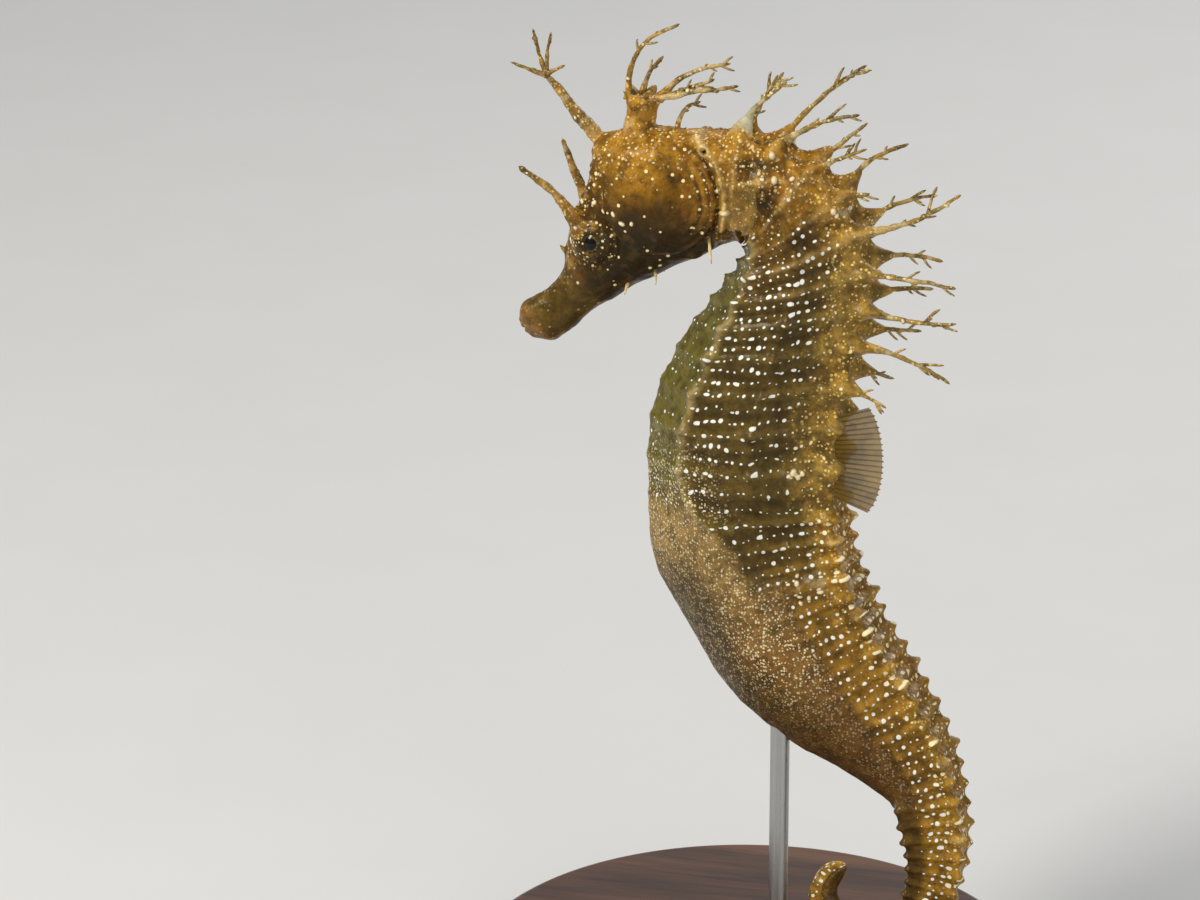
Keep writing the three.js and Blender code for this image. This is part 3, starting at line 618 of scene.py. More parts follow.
def mesh_object(name, points_mm, face_blocks):
    """A mesh object from points in millimetres and blocks of faces with equal corner counts."""
    mesh = bpy.data.meshes.new(name)
    points = np.asarray(points_mm, float) * MM
    loops = np.concatenate([block.ravel() for block in face_blocks]).astype(np.int32)
    totals = np.concatenate([np.full(len(block), block.shape[1]) for block in face_blocks]).astype(np.int32)
    mesh.vertices.add(len(points))
    mesh.vertices.foreach_set("co", points.astype(np.float32).ravel())
    mesh.loops.add(len(loops))
    mesh.loops.foreach_set("vertex_index", loops)
    mesh.polygons.add(len(totals))
    mesh.polygons.foreach_set("loop_start", np.concatenate([[0], np.cumsum(totals)[:-1]]).astype(np.int32))
    mesh.polygons.foreach_set("loop_total", totals)
    mesh.polygons.foreach_set("use_smooth", np.ones(len(totals), bool))
    mesh.update(calc_edges=True)
    mesh.validate()
    return linked(name, mesh)


def grid_faces(rows, around):
    """Quads over a grid of points whose last place joins the first."""
    r, c = np.meshgrid(np.arange(rows - 1), np.arange(around), indexing="ij")
    here, onward = r * around, (r + 1) * around
    nxt = (c + 1) % around
    return np.stack([here + c, onward + c, onward + nxt, here + nxt], -1).reshape(-1, 4)


def cap_faces(rows, around):
    """Triangles that close both ends of a grid to a point before the first and after the last row."""
    c = np.arange(around)
    nxt = (c + 1) % around
    first, last = rows * around, rows * around + 1
    base = (rows - 1) * around
    start = np.stack([c, nxt, np.full(around, first)], -1)
    end = np.stack([base + nxt, base + c, np.full(around, last)], -1)
    return np.concatenate([start, end])


def closed_sweep(builder, rings, start, end, tint, mask, place=None):
    """Adds a swept piece: rings by row and place, closed by one point at each end."""
    rows, around = rings.shape[:2]
    points = np.concatenate([rings.reshape(-1, 3), [start, end]])

    def ended(values, width):
        values = np.broadcast_to(values, (rows, around, width)).reshape(-1, width)
        return np.concatenate([values, values[:1], values[-1:]])

    place = None if place is None else ended(place, 3)
    faces = [grid_faces(rows, around), cap_faces(rows, around)]
    builder.add(points, faces, ended(tint, 3), ended(mask, 4), place)


# ================================================================== colours
def srgb(red, green, blue):
    """A colour given as 0-255 on the screen, in linear light."""
    c = np.array([red, green, blue]) / 255
    return np.where(c <= 0.04045, c / 12.92, ((c + 0.055) / 1.055) ** 2.4)


IRIS_DARK = srgb(44, 37, 20)
IRIS_GOLD = srgb(104, 86, 44)
PUPIL_RIM = srgb(160, 138, 96)
PUPIL = srgb(14, 10, 7)
EYE_SKIN = srgb(24, 19, 12)
FIN_GOLD = srgb(166, 134, 58)
FIN_RAY = srgb(102, 80, 30)
FIN_SPOT = srgb(100, 72, 36)
AMBER = srgb(178, 125, 32)
GOLD = srgb(204, 156, 58)
CHESTNUT = srgb(106, 69, 14)
DARK = srgb(38, 27, 9)
SNOUT_BROWN = srgb(86, 65, 20)
LIP_BROWN = srgb(126, 90, 42)
FLANK = srgb(100, 80, 32)
OLIVE = srgb(106, 97, 34)
RIDGE_PALE = srgb(168, 144, 80)
POUCH_TAN = srgb(160, 128, 74)
POUCH_BROWN = srgb(88, 70, 34)
RUST = srgb(134, 86, 32)
TAIL_GOLD = srgb(172, 127, 42)
TAIL_DARK = srgb(70, 49, 18)
ORANGE = srgb(178, 126, 44)
RUST_AMBER = srgb(158, 98, 26)
CREAM = srgb(228, 206, 146)
# Pale grey painted highlight: glints of wet skin laid into the colour.
PAINTED_GLINT = srgb(204, 202, 188)
WEB_WHITE = srgb(196, 197, 166)
NODULE_PALE = srgb(242, 222, 176)
FROND_BROWN = srgb(128, 102, 50)
DOT_WHITE = srgb(240, 241, 228)
DOT_GOLD = srgb(242, 222, 160)
FLECK_GOLD = srgb(236, 198, 110)
POUCH_SPECK = srgb(240, 222, 176)
HEAD_DOT = srgb(250, 228, 164)
SMALL_DOT = srgb(228, 222, 196)

# How strongly a piece carries rowed dots, fine specks, gold flecks and scattered dots.
BARE = np.zeros(4)
LID_MASK = np.array([0, 0, 1.0, 1.0])
CORONET_MASK = np.array([0, 0.1, 0.8, 0.3])
FILAMENT_MASK = np.array([0, 0.25, 0.9, 0.2])
TWIG_MASK = np.array([0, 0.2, 0.8, 0])


def mix(a, b, f):
    f = np.asarray(f)[..., None]
    return a * (1 - f) + b * f


def painted(tint, *layers):
    """Lays colours over a tint one after another, each with its own strength."""
    for colour, strength in layers:
        tint = mix(tint, colour, strength)
    return tint


def head_tint(at, down, patchy, blotch, snout, crown, points):
    """Golden crown, dark cheek and eye, brown snout with a paler tip."""
    return painted(
        mix(CHESTNUT, AMBER, crown),
        (DARK, 0.93 * rise(0.3, 0.6, down + 0.12 * blotch)),
        (DARK, 0.6 * rise(0.1, 0.45, patchy) * rise(0.1, 0.3, down)),
        (DARK * 0.8, 0.7 * bump(at, -2.6, 1.0) * bump(down, 0.62, 0.22)),
        (DARK, 0.8 * bump(at, -3.9, 1.2) * rise(0.04, 0.3, down)),
        (SNOUT_BROWN, snout),
        (DARK, snout * 0.45 * rise(-0.1, 0.4, patchy)),
        (LIP_BROWN, fall(-9.2, -7.6, at) * 0.85),
        (DARK, 0.5 * bump(at, -3.0, 0.9) * (0.7 + 0.6 * patchy)),
        (CHESTNUT * 0.8, 0.55 * crown * rise(0.05, 0.4, fractal(points, 2.2, 37))),
    )


def skin_colours(skin, points):
    """The skin's base colours and the masks for rowed dots, fine specks, gold flecks and scattered dots."""
    at, p, phase, on_ring, down = skin.at, skin.half_place, skin.phase, skin.on_ring, skin.down
    gill, rear = skin.gill, skin.gill_rear
    everywhere = np.ones_like(skin.girth)
    tail = skin.tail * everywhere
    blotch = fractal(points, 6.0, 31)
    patchy = fractal(points, 2.8, 33)
    fine = fractal(points, 1.1, 41)
    head = fall(-0.8, 0.6, at) * everywhere
    snout = fall(-5.6, -4.6, at) * everywhere
    crown = rise(-2.7, -1.5, at) * fall(0.2, 0.5, down + 0.08 * patchy)
    tint = head_tint(at, down, patchy, blotch, snout, crown, points)

    # Trunk: dark olive-brown flanks in bands that are darker between the rings, partly painted shade in the
    # grooves there, amber neck and back, olive keel in front of a pale ridge.
    # Darker between the rings: partly the skin's own banding, partly painted shade in the grooves between
    # rings.
    banding_and_groove_shade = wave(phase + 0.05 * patchy)
    neck = fall(2.2, 4.6, at)
    flank = painted(
        mix(FLANK, DARK, 0.12 + 0.45 * banding_and_groove_shade + 0.24 * wave(skin.dot_rows) - 0.1 * rise(5.5, 8, at)),
        (CHESTNUT, fall(4.5, 7.0, at) * (0.35 + 0.3 * on_ring)),
        (AMBER, neck * (0.5 + 0.2 * patchy)),
    )
    backness = fall(1.05, 1.75, p + 0.14 * patchy)
    back = painted(
        AMBER,
        (mix(TAIL_GOLD, RIDGE_PALE, 0.55), rise(2.5, 6, at)),
        (CHESTNUT * 0.7, np.clip((0.2 + 0.45 * banding_and_groove_shade) * rise(2, 5, at) + 0.45 * patchy, 0, 0.7)),
    )
    ventral = rise(2.98, 3.12, p)
    ridge = bump(skin.from_corner(3), 0, 0.65 + 0.2 * patchy)
    pale_ridge = ridge * rise(0.5, 2.5, at) * (0.6 + 0.5 * patchy + 0.25 * fine)
    first_rings = rise(-0.4, 0.2, at) * fall(5.5, 6.5, at)
    line_height = 108.9 + 0.1 * (points[..., 0] + 4)
    neck_line = bump(points[..., 2] + 0.7 * patchy, line_height, 0.2) * first_rings * (0.3 + 1.2 * fine)
    ring_line = on_ring**10 * first_rings * fall(0.55, 0.75, down) * (0.25 + 0.4 * patchy)
    trunk = painted(
        mix(flank, back, backness * 0.9),
        (RUST_AMBER, 0.5 * neck * rise(-0.1, 0.4, fractal(points, 4.0, 43))),
        (CHESTNUT * 0.6, 0.7 * neck * rise(0.1, 0.4, fractal(points, 2.4, 47))),
        (mix(CHESTNUT, OLIVE, rise(1.0, 3.2, at)), ventral * 0.9),
        (OLIVE * 0.45, ventral * (0.3 * banding_and_groove_shade + 0.35 * rise(0.1, 0.5, blotch))),
        (mix(RIDGE_PALE, CREAM, 0.35 * on_ring), np.clip(pale_ridge, 0, 0.95)),
        (mix(GOLD, CREAM, 0.5), np.clip(np.maximum(neck_line, ring_line), 0, 0.8)),
    )
    for x, z, reach, height, depth in DARK_PATCHES:
        inside = bump((points[..., 0] - x) / reach, 0, 1) * bump((points[..., 2] - z) / height, 0, 1)
        trunk = mix(trunk, DARK, np.clip(depth * inside * (1 + 0.8 * patchy), 0, 0.85))
    tint = mix(tint, trunk, 1 - head)

    # Gill cover: amber behind, with dark arcs, painted shade in the groove round it and a pale girdle beyond.
    arcs = (0.5 - 0.5 * np.cos(gill * GILL_ARCS)) ** 1.5
    on_gill = fall(0.97, 1.01, gill) * rear
    behind = rise(-0.5, 0.6, (points[..., 0] - GILL_CENTRE[0]) / GILL_SIZE[0] + 0.3 * patchy)
    middle = fall(0.75, 1.02, gill) * rise(0.12, 0.24, down)
    girdle = bump(gill + 0.02 * fine, 1.16, 0.045) * rear * fall(0.7, 0.85, down)
    tint = painted(
        tint,
        (CHESTNUT * 0.75, middle * behind * fall(0.5, 0.8, down) * 0.75),
        (mix(RUST_AMBER, AMBER, 0.4 + 0.6 * patchy), on_gill * bump(down, 0.4, 0.26) * 0.9),
        (DARK, on_gill * bump(gill, 0.78, 0.24) * arcs * 0.9),
        # Painted shade in the groove round the gill cover.
        (DARK * 0.7, 0.9 * bump(gill, 1.03, 0.04) * rear),
        (mix(GOLD, CREAM, 0.5), np.clip(girdle * (0.7 + 0.8 * fine), 0, 0.9)),
    )

    # Tail: golden-brown above with paler knobs, smooth dark brown beneath.
    under = rise(2.05, 2.5, p + 0.1 * patchy)
    knobs = bump(skin.from_corner(1), 0, 0.8)
    tail_tint = painted(
        mix(TAIL_GOLD, CHESTNUT, np.clip(0.3 + 0.6 * patchy, 0, 1)),
        (CHESTNUT, 0.35 * (1 - on_ring)),
        (TAIL_DARK, under * 0.9),
        (GOLD, 0.45 * knobs * on_ring),
        (CREAM, 0.3 * knobs * on_ring**2 * skin.enlarged),
        (TAIL_DARK, 0.35 * wave((phase - 13) / 8)),
    )
    below_trunk = rise(12.5, 17.5, at + 1.2 * patchy)
    flank_runs_on = 1 - (1 - below_trunk) * rise(1.15, 1.5, p)
    tint = mix(tint, tail_tint, tail * flank_runs_on)

    # Pouch: tan, browner low down and darkest along its front edge.
    along = skin.rows.along[:, None]
    starts = rise(11.2, 12.6, at + 0.9 * patchy - 3.0 * fall(2.5, 3.15, p))
    pouch = skin.rows.pouch[:, None] * starts * rise(2.1, 2.75 - 0.25 * below_trunk, p + 0.15 * patchy)
    low = rise(5, 17, along) * everywhere
    last = rise(17, 27, along) * everywhere
    edge = rise(3.0, 3.5, p + 0.15 * patchy) * rise(12.5, 15.0, at)
    pouch_tint = painted(
        mix(POUCH_TAN, RUST, np.clip(low * (0.8 + 0.5 * blotch), 0, 1)),
        (POUCH_BROWN, np.clip(0.2 + 0.6 * patchy + 0.3 * fine, 0, 0.75)),
        (POUCH_BROWN * 0.6, edge * 0.9),
        (mix(TAIL_DARK, RUST, 0.25), last * 0.85),
    )
    tint = mix(tint, pouch_tint, pouch)

    # The gill's opening, with painted shade inside it, in its pale lip; the pale patches of painted
    # highlight; and fine unevenness over all.
    sides = np.abs(points[..., 1]) > 1
    x, z, radius = GILL_OPENING
    apart = from_axis(points, x, z) / radius
    tint = mix(tint, CREAM, 0.6 * sides * bump(apart, 1.6, 0.45))
    # Painted shade: the inside of the gill's opening is darkened.
    tint = mix(tint, DARK * 0.4, sides * fall(0.7, 1.1, apart))
    # Painted highlight: torn pale patches that stand for glints on wet skin.
    for x, z, radius, side in GLINT_PATCHES:
        apart = from_axis(points, x, z)
        torn = fall(radius * 0.4, radius * 0.8, apart + 0.7 * radius * patchy + 0.9 * radius * fine)
        tint = mix(tint, PAINTED_GLINT, 0.45 * rise(-0.1, 0.4, fine) * torn * (points[..., 1] * side > 0))
    tint = tint * (1 + 0.3 * fine + 0.12 * blotch)[..., None]

    # Where dots stand in rows, where fine specks lie, where flecks are gold and where dots are scattered.
    rowed = (1 - head) * np.maximum(rise(2.5, 5.0, at), 0.2 + 0.5 * on_ring**2)
    rowed = rowed * (1 - 0.85 * pouch * rise(2.4, 2.85, p)) * (1 - 0.5 * ventral * (1 - tail))
    rowed = rowed * (1 - 0.55 * backness * (1 - tail)) * (1 - under * tail * below_trunk)
    specks = pouch * (1 - 0.6 * edge) * (0.7 + 0.3 * low) * (1 - 0.75 * last)
    specks = np.maximum(specks, (1 - head) * (1 - tail) * rise(9.8, 11.8, at) * rise(2.2, 2.9, p))
    round_eye = fall(2.6, 3.6, eye_distance(points)) * (at < -2)
    gold = head * np.maximum((1 - 0.6 * snout) * fall(0.1, 0.32, down + 0.1 * patchy), round_eye)
    gold = np.maximum(gold, (1 - head) * np.maximum(backness, 0.6 * neck)) * (1 - 0.3 * tail)
    scattered = head * (0.85 - 0.6 * snout) + (1 - head) * 0.5 * neck
    mask = np.stack([np.broadcast_to(m, tint.shape[:2]) for m in (rowed, specks, gold, scattered)], -1)
    return np.clip(tint, 0.003, 1), np.clip(mask, 0, 1)


# ================================================================== build the skin
def snout_cap(points):
    """Rows that round off the end of the snout, in front of the first row, with the mouth across it."""
    first = points[0]
    middle = first.mean(0)
    ahead = unit(middle - points[8].mean(0))
    turns = np.arange(CAP_ROWS, 0, -1) / CAP_ROWS * math.pi / 2 * 0.97
    cap = np.array([middle + (first - middle) * math.cos(f) + ahead * 0.45 * math.sin(f) for f in turns])
    up = unit(first[0] - first[AROUND // 2])
    from_slit = (cap - middle) @ up - 0.35 + 0.12 * cap[..., 1] ** 2
    inside = rise(0.0, 0.5, 1 - np.linalg.norm(cap - middle, axis=-1) / 2.0)
    lips = bump(from_slit, 0.42, 0.22) + bump(from_slit, -0.42, 0.22)
    relief = 0.1 * lips - 0.32 * bump(from_slit, 0, 0.13)
    return cap + ahead * (relief * inside)[..., None], middle + ahead * 0.42


def build_skin(builder):
    skin = Skin()
    points = skin.sculpted()
    tint, mask = skin_colours(skin, points)
    cap, start = snout_cap(points)
    on_cap = [0] * CAP_ROWS + list(range(len(points)))
    place = np.stack([skin.girth, skin.dot_rows, skin.row_length], -1)
    tip, _ = tail_axis(np.array([TAIL_LENGTH]))
    end = np.array([tip[0, 0], 0, tip[0, 1]])
    rings = np.concatenate([cap, points])
    closed_sweep(builder, rings, start, end, tint[on_cap], mask[on_cap], place[on_cap])
    build_nodules(builder, skin, points, tint)


def nodule_density(skin, points):
    """How thickly small nodules stand: most on the crown, over the eye, and along rings and ridges."""
    at = skin.at
    crown = rise(-3.6, -2.6, at) * fall(2, 4, at) * fall(0.12, 0.34, skin.down)
    over_eye = rise(-1.5, 1.5, points[..., 2] - EYE_CENTRE[2])
    round_eye = bump(eye_distance(points), 2.5, 0.7) * (at < -2.5) * over_eye
    body = rise(0, 0.5, at) * fall(9, 12, at) * fall(1.7, 2.3, skin.half_place)
    ridge = bump(skin.from_corner(1), 0, 0.7) * rise(0, 0.5, at) * fall(40, 46, at)
    ridge = 0.5 * ridge * (1 - skin.tail * 0.7)
    return np.clip(0.55 * crown + round_eye + 0.35 * body * skin.on_ring**6 + ridge, 0, 1)


# A nodule's rings: how far out they reach and stand, as shares of its radius, and how pale they are.
NODULE_REACH = np.array([1.1, 1.5, 1.2, 0.95, 0.7, 0.4, 0.15])
NODULE_RISE = np.array([-0.6, -0.08, 0.08, 0.32, 0.52, 0.64, 0.68])
NODULE_PALING = np.array([0.0, 0.0, 0.15, 0.7, 1.0, 1.0, 1.0])


def add_nodule(builder, foot, normal, radius, ground, paleness, twist):
    """One pale dome that rises out of the skin's own colour."""
    turn = circle(12)
    level = unit(np.cross(normal, np.array([0.3, 0.2, 0.93])))
    oval = (1 + 0.2 * np.cos(2 * turn + twist)[:, None]) * swung(turn, level, np.cross(normal, level))
    rings = foot + radius * (NODULE_REACH[:, None, None] * oval + NODULE_RISE[:, None, None] * normal)
    shade = mix(ground, NODULE_PALE, NODULE_PALING[:, None] * paleness)
    closed_sweep(builder, rings, foot - normal * radius * 0.6, foot + normal * radius * 0.69, shade, BARE)


def build_nodules(builder, skin, points, tint):
    """Small pale domes on the skin: the placed ones, clusters in the glint patches whose paleness is painted
    highlight, and many smaller ones strewn over head and ridges.
    """
    flat, out, tint = (values.reshape(-1, 3) for values in (points, grid_normals(points), tint))
    density = nodule_density(skin, points).reshape(-1)

    def nearest(x, z, side):
        return int(np.argmin(from_axis(flat, x, z) + 50 * (flat[:, 1] * side < 1)))

    chosen = [(nearest(x, z, side), radius, 1.0) for x, z, radius in NODULES for side in (-1, 1)]
    rng = np.random.default_rng(8)
    # Clusters of pale domes in the glint patches: their pale colour is painted highlight.
    for x, z, reach, side in GLINT_PATCHES:
        for x_off, z_off in rng.normal(0, reach * 0.33, (9, 2)):
            chosen.append((nearest(x + x_off, z + z_off, side), rng.uniform(0.14, 0.4), 1.0))
    for index in rng.permutation(len(flat))[:NODULE_TRIES]:
        if density[index] > rng.random():
            chosen.append((index, rng.uniform(0.08, 0.2), rng.uniform(0.35, 0.9)))
    for index, radius, paleness in chosen:
        add_nodule(builder, flat[index], out[index], radius, tint[index], paleness, index)


def build_lids(builder):
    """The rim of skin round each eye, which meets the skin of the head beyond it."""
    radii = np.concatenate([[1.0, 1.06, 1.12], np.linspace(1.16, 1.4, 8), np.linspace(1.46, ORBIT_EDGE, 14)])
    ball = EYE_CENTRE[1] + np.sqrt(np.maximum(EYE_RADIUS**2 - radii**2, 0))
    height = ball + 0.02 + (lid_height(radii) - ball) * rise(1.02, 1.5, radii)
    height += 0.07 * bump(radii, 1.16, 0.08)
    height[-1] -= 0.12
    r, a = np.meshgrid(radii, circle(96), indexing="ij")
    oval = 1 - (1 - LID_SQUASH) * fall(1.0, 2.0, r) * np.sin(a - 0.5) ** 2
    x = EYE_CENTRE[0] + r * oval * np.cos(a)
    z = EYE_CENTRE[2] + r * oval * np.sin(a)
    for side in (-1, 1):
        aside = np.array([0, side, 0])
        rings = np.stack([x, side * np.broadcast_to(height[:, None], r.shape), z], -1)
        rings[..., 1] += side * (fractal(rings, 0.8, 51, 2) * 0.05)
        rings = np.concatenate([rings[:1] - aside * 0.9, rings, rings[-1:] - aside * 0.8])
        if side > 0:
            rings = rings[:, ::-1]
        tint = mix(DARK, SNOUT_BROWN, 0.35 + 0.4 * fractal(rings, 0.9, 61, 2))
        centre = np.array([EYE_CENTRE[0], side * 3.0, EYE_CENTRE[2]])
        closed_sweep(builder, rings, centre, centre - aside * 0.4, tint, LID_MASK)


# ================================================================== filaments
FILAMENT_TIP = 0.2
# Ring of the trunk, side, length, degrees that it rises at its foot, degrees that it bends, thickness, and
# for some the length of a fork and the half width of the web at the foot.
BACK_FILAMENTS = [
    (1, 1, 8.6, 68, -17, 0.8, 2.5, 0),
    (1, -1, 10.8, 72, -38, 0.8, 3, 1.3),
    (2, 1, 14, 56, -24, 0.7, 3, 0),
    (2, -1, 12.8, 48, -38, 0.8, 3, 0.5),
    (3, 1, 7.8, 35, 8, 0.7, 0, 0),
    (3, -1, 8.4, 31, -6, 0.7, 2, 0),
    (4, 1, 9.6, 58, -42, 0.8, 0, 0),
    (4, -1, 4.5, 24, -10, 0.7, 0, 0),
    (5, 1, 9.5, 36, -29, 0.8, 2.5, 0),
    (5, -1, 15, 12, 30, 0.8, 3.5, 0.6),
    (6, 1, 8.6, 12, -27, 0.7, 0, 0),
    (6, -1, 11.8, -4, 3, 0.7, 0, 0),
    (7, 1, 7.6, 13, -16, 0.7, 0, 0),
    (7, -1, 12.2, -14, 24, 0.8, 2.5, 0.5),
    (8, 1, 7, 0, -4, 0.7, 0, 0),
    (8, -1, 12.8, 2, -34, 0.8, 3, 0.5),
    (9, 1, 5, -8, -10, 0.6, 0, 0),
    (9, -1, 6, -14, -12, 0.6, 0, 0),
]
FILAMENT_SPLAY = 0.16
FORK_TURN = 42
FRONTAL_FROND = np.array([(-20.4, 0, 110.6), (-24.8, 0, 115.6), (-28.0, 0, 119.3)])
# Length and rise.
FRONTAL_TWIGS = [(4.6, 172), (5.8, 112), (5.4, 88), (2.6, 38)]
# Side, foot, knee and tip.
EYE_SPINES = [
    (-1, (-23.2, 2.7, 101.6), (-26.4, 3.3, 105.8), (-30.6, 3.4, 108.8)),
    (1, (-23.2, 2.7, 101.6), (-25.2, 3.4, 106.0), (-26.9, 3.4, 110.4)),
]
# Foot, length and rise.
CHEEK_SPINES = [
    ((-17.4, 1.5, 95.2), 2.175, -104),
    ((-14.2, 1.8, 97.0), 2.175, -84),
    ((-7.4, 2.8, 101.6), 3.3, -80),
]
CORONET_FOOT = np.array([-16.5, 0, 112.7])
CORONET_TOP = np.array([-16.1, 0, 117.8])
CORONET_RIM = 1.85
# Degrees round the rim, length, rise, bend, thickness at its foot, lean to the side and number of twigs.
CORONET_FRONDS = [
    (180, 12.2, 99, -84, 0.55, 0.05, 2),
    (30, 10, 52, -48, 0.6, 0.15, 4),
    (-125, 13.6, 16, -4, 0.8, -0.1, 2),
    (-50, 8.8, 29, -7, 0.55, -0.1, 2),
    (110, 5.5, 84, -40, 0.5, 0.35, 2),
]


def travelled(points):
    """How far along a path each of its points is."""
    return np.concatenate([[0], np.cumsum(np.linalg.norm(np.diff(points, axis=0), axis=1))])


def curve_through(points, step=0.3):
    """Evenly spaced points on a smooth curve through a few points."""
    points = np.asarray(points, float)
    keys = travelled(points)
    places = np.linspace(0, keys[-1], max(int(keys[-1] / step), 6))
    return np.stack([smooth_value(places, keys, points[:, k]) for k in range(3)], -1)


def bent_path(foot, length, up, bend, lean=0.0):
    """A path that leaves its foot this many degrees above +X and turns by bend on the way."""
    points = [np.asarray(foot, float)]
    for i in range(3):
        angle = math.radians(up + bend * (i + 0.5) / 3)
        way = unit(np.array([math.cos(angle), lean, math.sin(angle)]))
        points.append(points[-1] + way * length / 3)
    return points


def tube(builder, path, radius, tint, mask, width=None, sides=12):
    """A closed tube along a path; width, where given, is its half width in the plane of the animal."""
    tangent = unit(np.gradient(path, axis=0))
    across = unit(np.cross(SIDEWAYS, tangent))
    side = unit(np.cross(tangent, across)) * radius[:, None]
    across *= (radius if width is None else width)[:, None]
    rings = path[:, None] + swung(circle(sides), across[:, None], side[:, None])
    closed_sweep(builder, rings, path[0], path[-1] + tangent[-1] * radius[-1] * 0.8, tint[:, None], mask)


def pointed(along, length):
    """Factors that narrow a tube to a soft point over this length at its end."""
    left = np.clip((along[-1] - along) / length, 0, 1)
    return 0.25 + 0.75 * np.sqrt(left * (2 - left))


def thread(builder, points, base, end, seed, web=0.0, flare=0.9, colours=(ORANGE, FROND_BROWN, CREAM),
           twigs=3, sunk=0.0, nodules=0.25):
    """A knobbly filament of skin with a flared root, mottled colours and a few short twigs.

    Web is the half width of the thin fold of skin at its foot; sunk is how deep its root starts, and
    nodules how many pale nodules it carries to the millimetre.
    """
    points = np.asarray(points, float)
    if sunk:
        points = np.concatenate([[points[0] - unit(points[1] - points[0]) * sunk], points])
    path = curve_through(points)
    along = np.maximum(travelled(path) - sunk, 0)
    f = along / along[-1]
    wobble = np.stack([fractal(path + k * 37.0, 2.4, seed + k) for k in range(3)], -1)
    path = path + wobble * (0.25 * rise(0.1, 0.5, f))[:, None]

    knobbly = 1 + 0.34 * fractal(path, 0.8, seed + 5, 2) + 0.45 * lumps(path, 0.9, seed + 7)
    radius = (base * 0.62 + (end - base * 0.62) * f**0.6) * knobbly
    root = np.exp(-along / (0.55 + flare))
    radius = np.maximum(radius + base * flare * root, 0.13) * pointed(along, 0.7)
    fold = fall(0.2, 5.2, along) ** 1.2
    width = radius * (1 - 0.5 * fold * min(web, 1)) + web * fold
    radius = radius * (1 - 0.55 * fold * min(web, 1))

    first, middle, pale = colours
    veil = np.clip(web - 0.3, 0, 0.9) * fall(3.8, 6.8, along) * rise(0.8, 3.4, along)
    tint = painted(
        mix(first, middle, rise(0.12, 0.45, f)),
        (DARK, 0.4 * rise(0.1, 0.6, fractal(path, 1.3, seed + 9, 2))),
        (pale, 0.55 * rise(0.0, 0.5, fractal(path, 1.0, seed + 13, 2)) * rise(0.05, 0.3, f)),
        (DARK, 0.45 * rise(0.8, 1, f)),
        (WEB_WHITE, veil * (0.9 + 0.5 * noise(path, 0.8, seed + 3))),
    )
    tube(builder, path, radius, tint, FILAMENT_MASK * (1 - 0.8 * veil)[:, None, None], width)

    for k in range(int(nodules * along[-1])):
        place, round_it, size = (float(hashed(np.array([seed, k, m]), 5)) for m in range(3))
        at = int(len(path) * (0.15 + 0.75 * place))
        way = unit(path[min(at + 1, len(path) - 1)] - path[at - 1])
        level = unit(np.cross(way, SIDEWAYS))
        normal = swung(2 * np.pi * round_it, level, np.cross(way, level))
        add_nodule(builder, path[at] + normal * radius[at], normal, 0.12 + 0.14 * size, tint[at], 0.9, k)
    for k in range(twigs):
        place, spread, size = (hashed(np.array([seed, k, m]), 3) for m in (1, 2, 3))
        at = min(int(len(path) * (0.45 + 0.5 * place)), len(path) - 3)
        heading = path[at + 1] - path[at]
        angle = math.degrees(math.atan2(heading[2], heading[0]))
        turn = (35 + 30 * spread) * (1 if k % 2 else -1)
        length = 0.6 + 1.5 * size
        twig = curve_through(bent_path(path[at], length, angle + turn, -turn * 0.5), 0.15)
        g = np.linspace(0, 1, len(twig))
        shade = mix(mix(middle, pale, 0.3), DARK, 0.6 * rise(0.5, 1, g))
        tube(builder, twig, (0.2 - 0.08 * g) * pointed(g * length, 0.5), shade, TWIG_MASK, sides=10)


def back_filament_path(ring, side, length, up, bend):
    """A path that leaves the superior ridge where a ring of the trunk crosses it."""
    ridge = body_points(Rows(np.array([float(ring)])), np.array([0.0, 1.0]))[0]
    foot = mirrored(ridge[1] * 0.9 + ridge[0] * 0.1, -side)
    return bent_path(foot, length, up, bend, FILAMENT_SPLAY * side)


def eye_spine_path(side, *points):
    return [mirrored(point, side) for point in points]


def nose_spine_path():
    nose = edges(np.array([-4.8]))[0][0]
    return bent_path((nose[0] + 0.4, 0, nose[1] - 0.4), 1.8, 138, 0)


def build_filaments(builder):
    """The long filaments that grow from the knobs of the superior ridges, some of them forked."""
    colours = mix(TAIL_GOLD, RIDGE_PALE, 0.3), mix(FROND_BROWN, RIDGE_PALE, 0.3), CREAM
    fork_colours = FROND_BROWN, FROND_BROWN, CREAM
    for seed, (ring, side, length, up, bend, base, fork, web) in zip(range(100, 1000, 20), BACK_FILAMENTS):
        points = back_filament_path(ring, side, length, up, bend)
        thread(builder, points, base, FILAMENT_TIP, seed, web, flare=0.25, colours=colours, sunk=1.2)
        if fork:
            branch = bent_path(points[2], fork, up + bend + FORK_TURN, -20, -FILAMENT_SPLAY * side)
            thread(builder, branch, 0.34, 0.17, seed + 10, flare=0.1, colours=fork_colours, twigs=0)


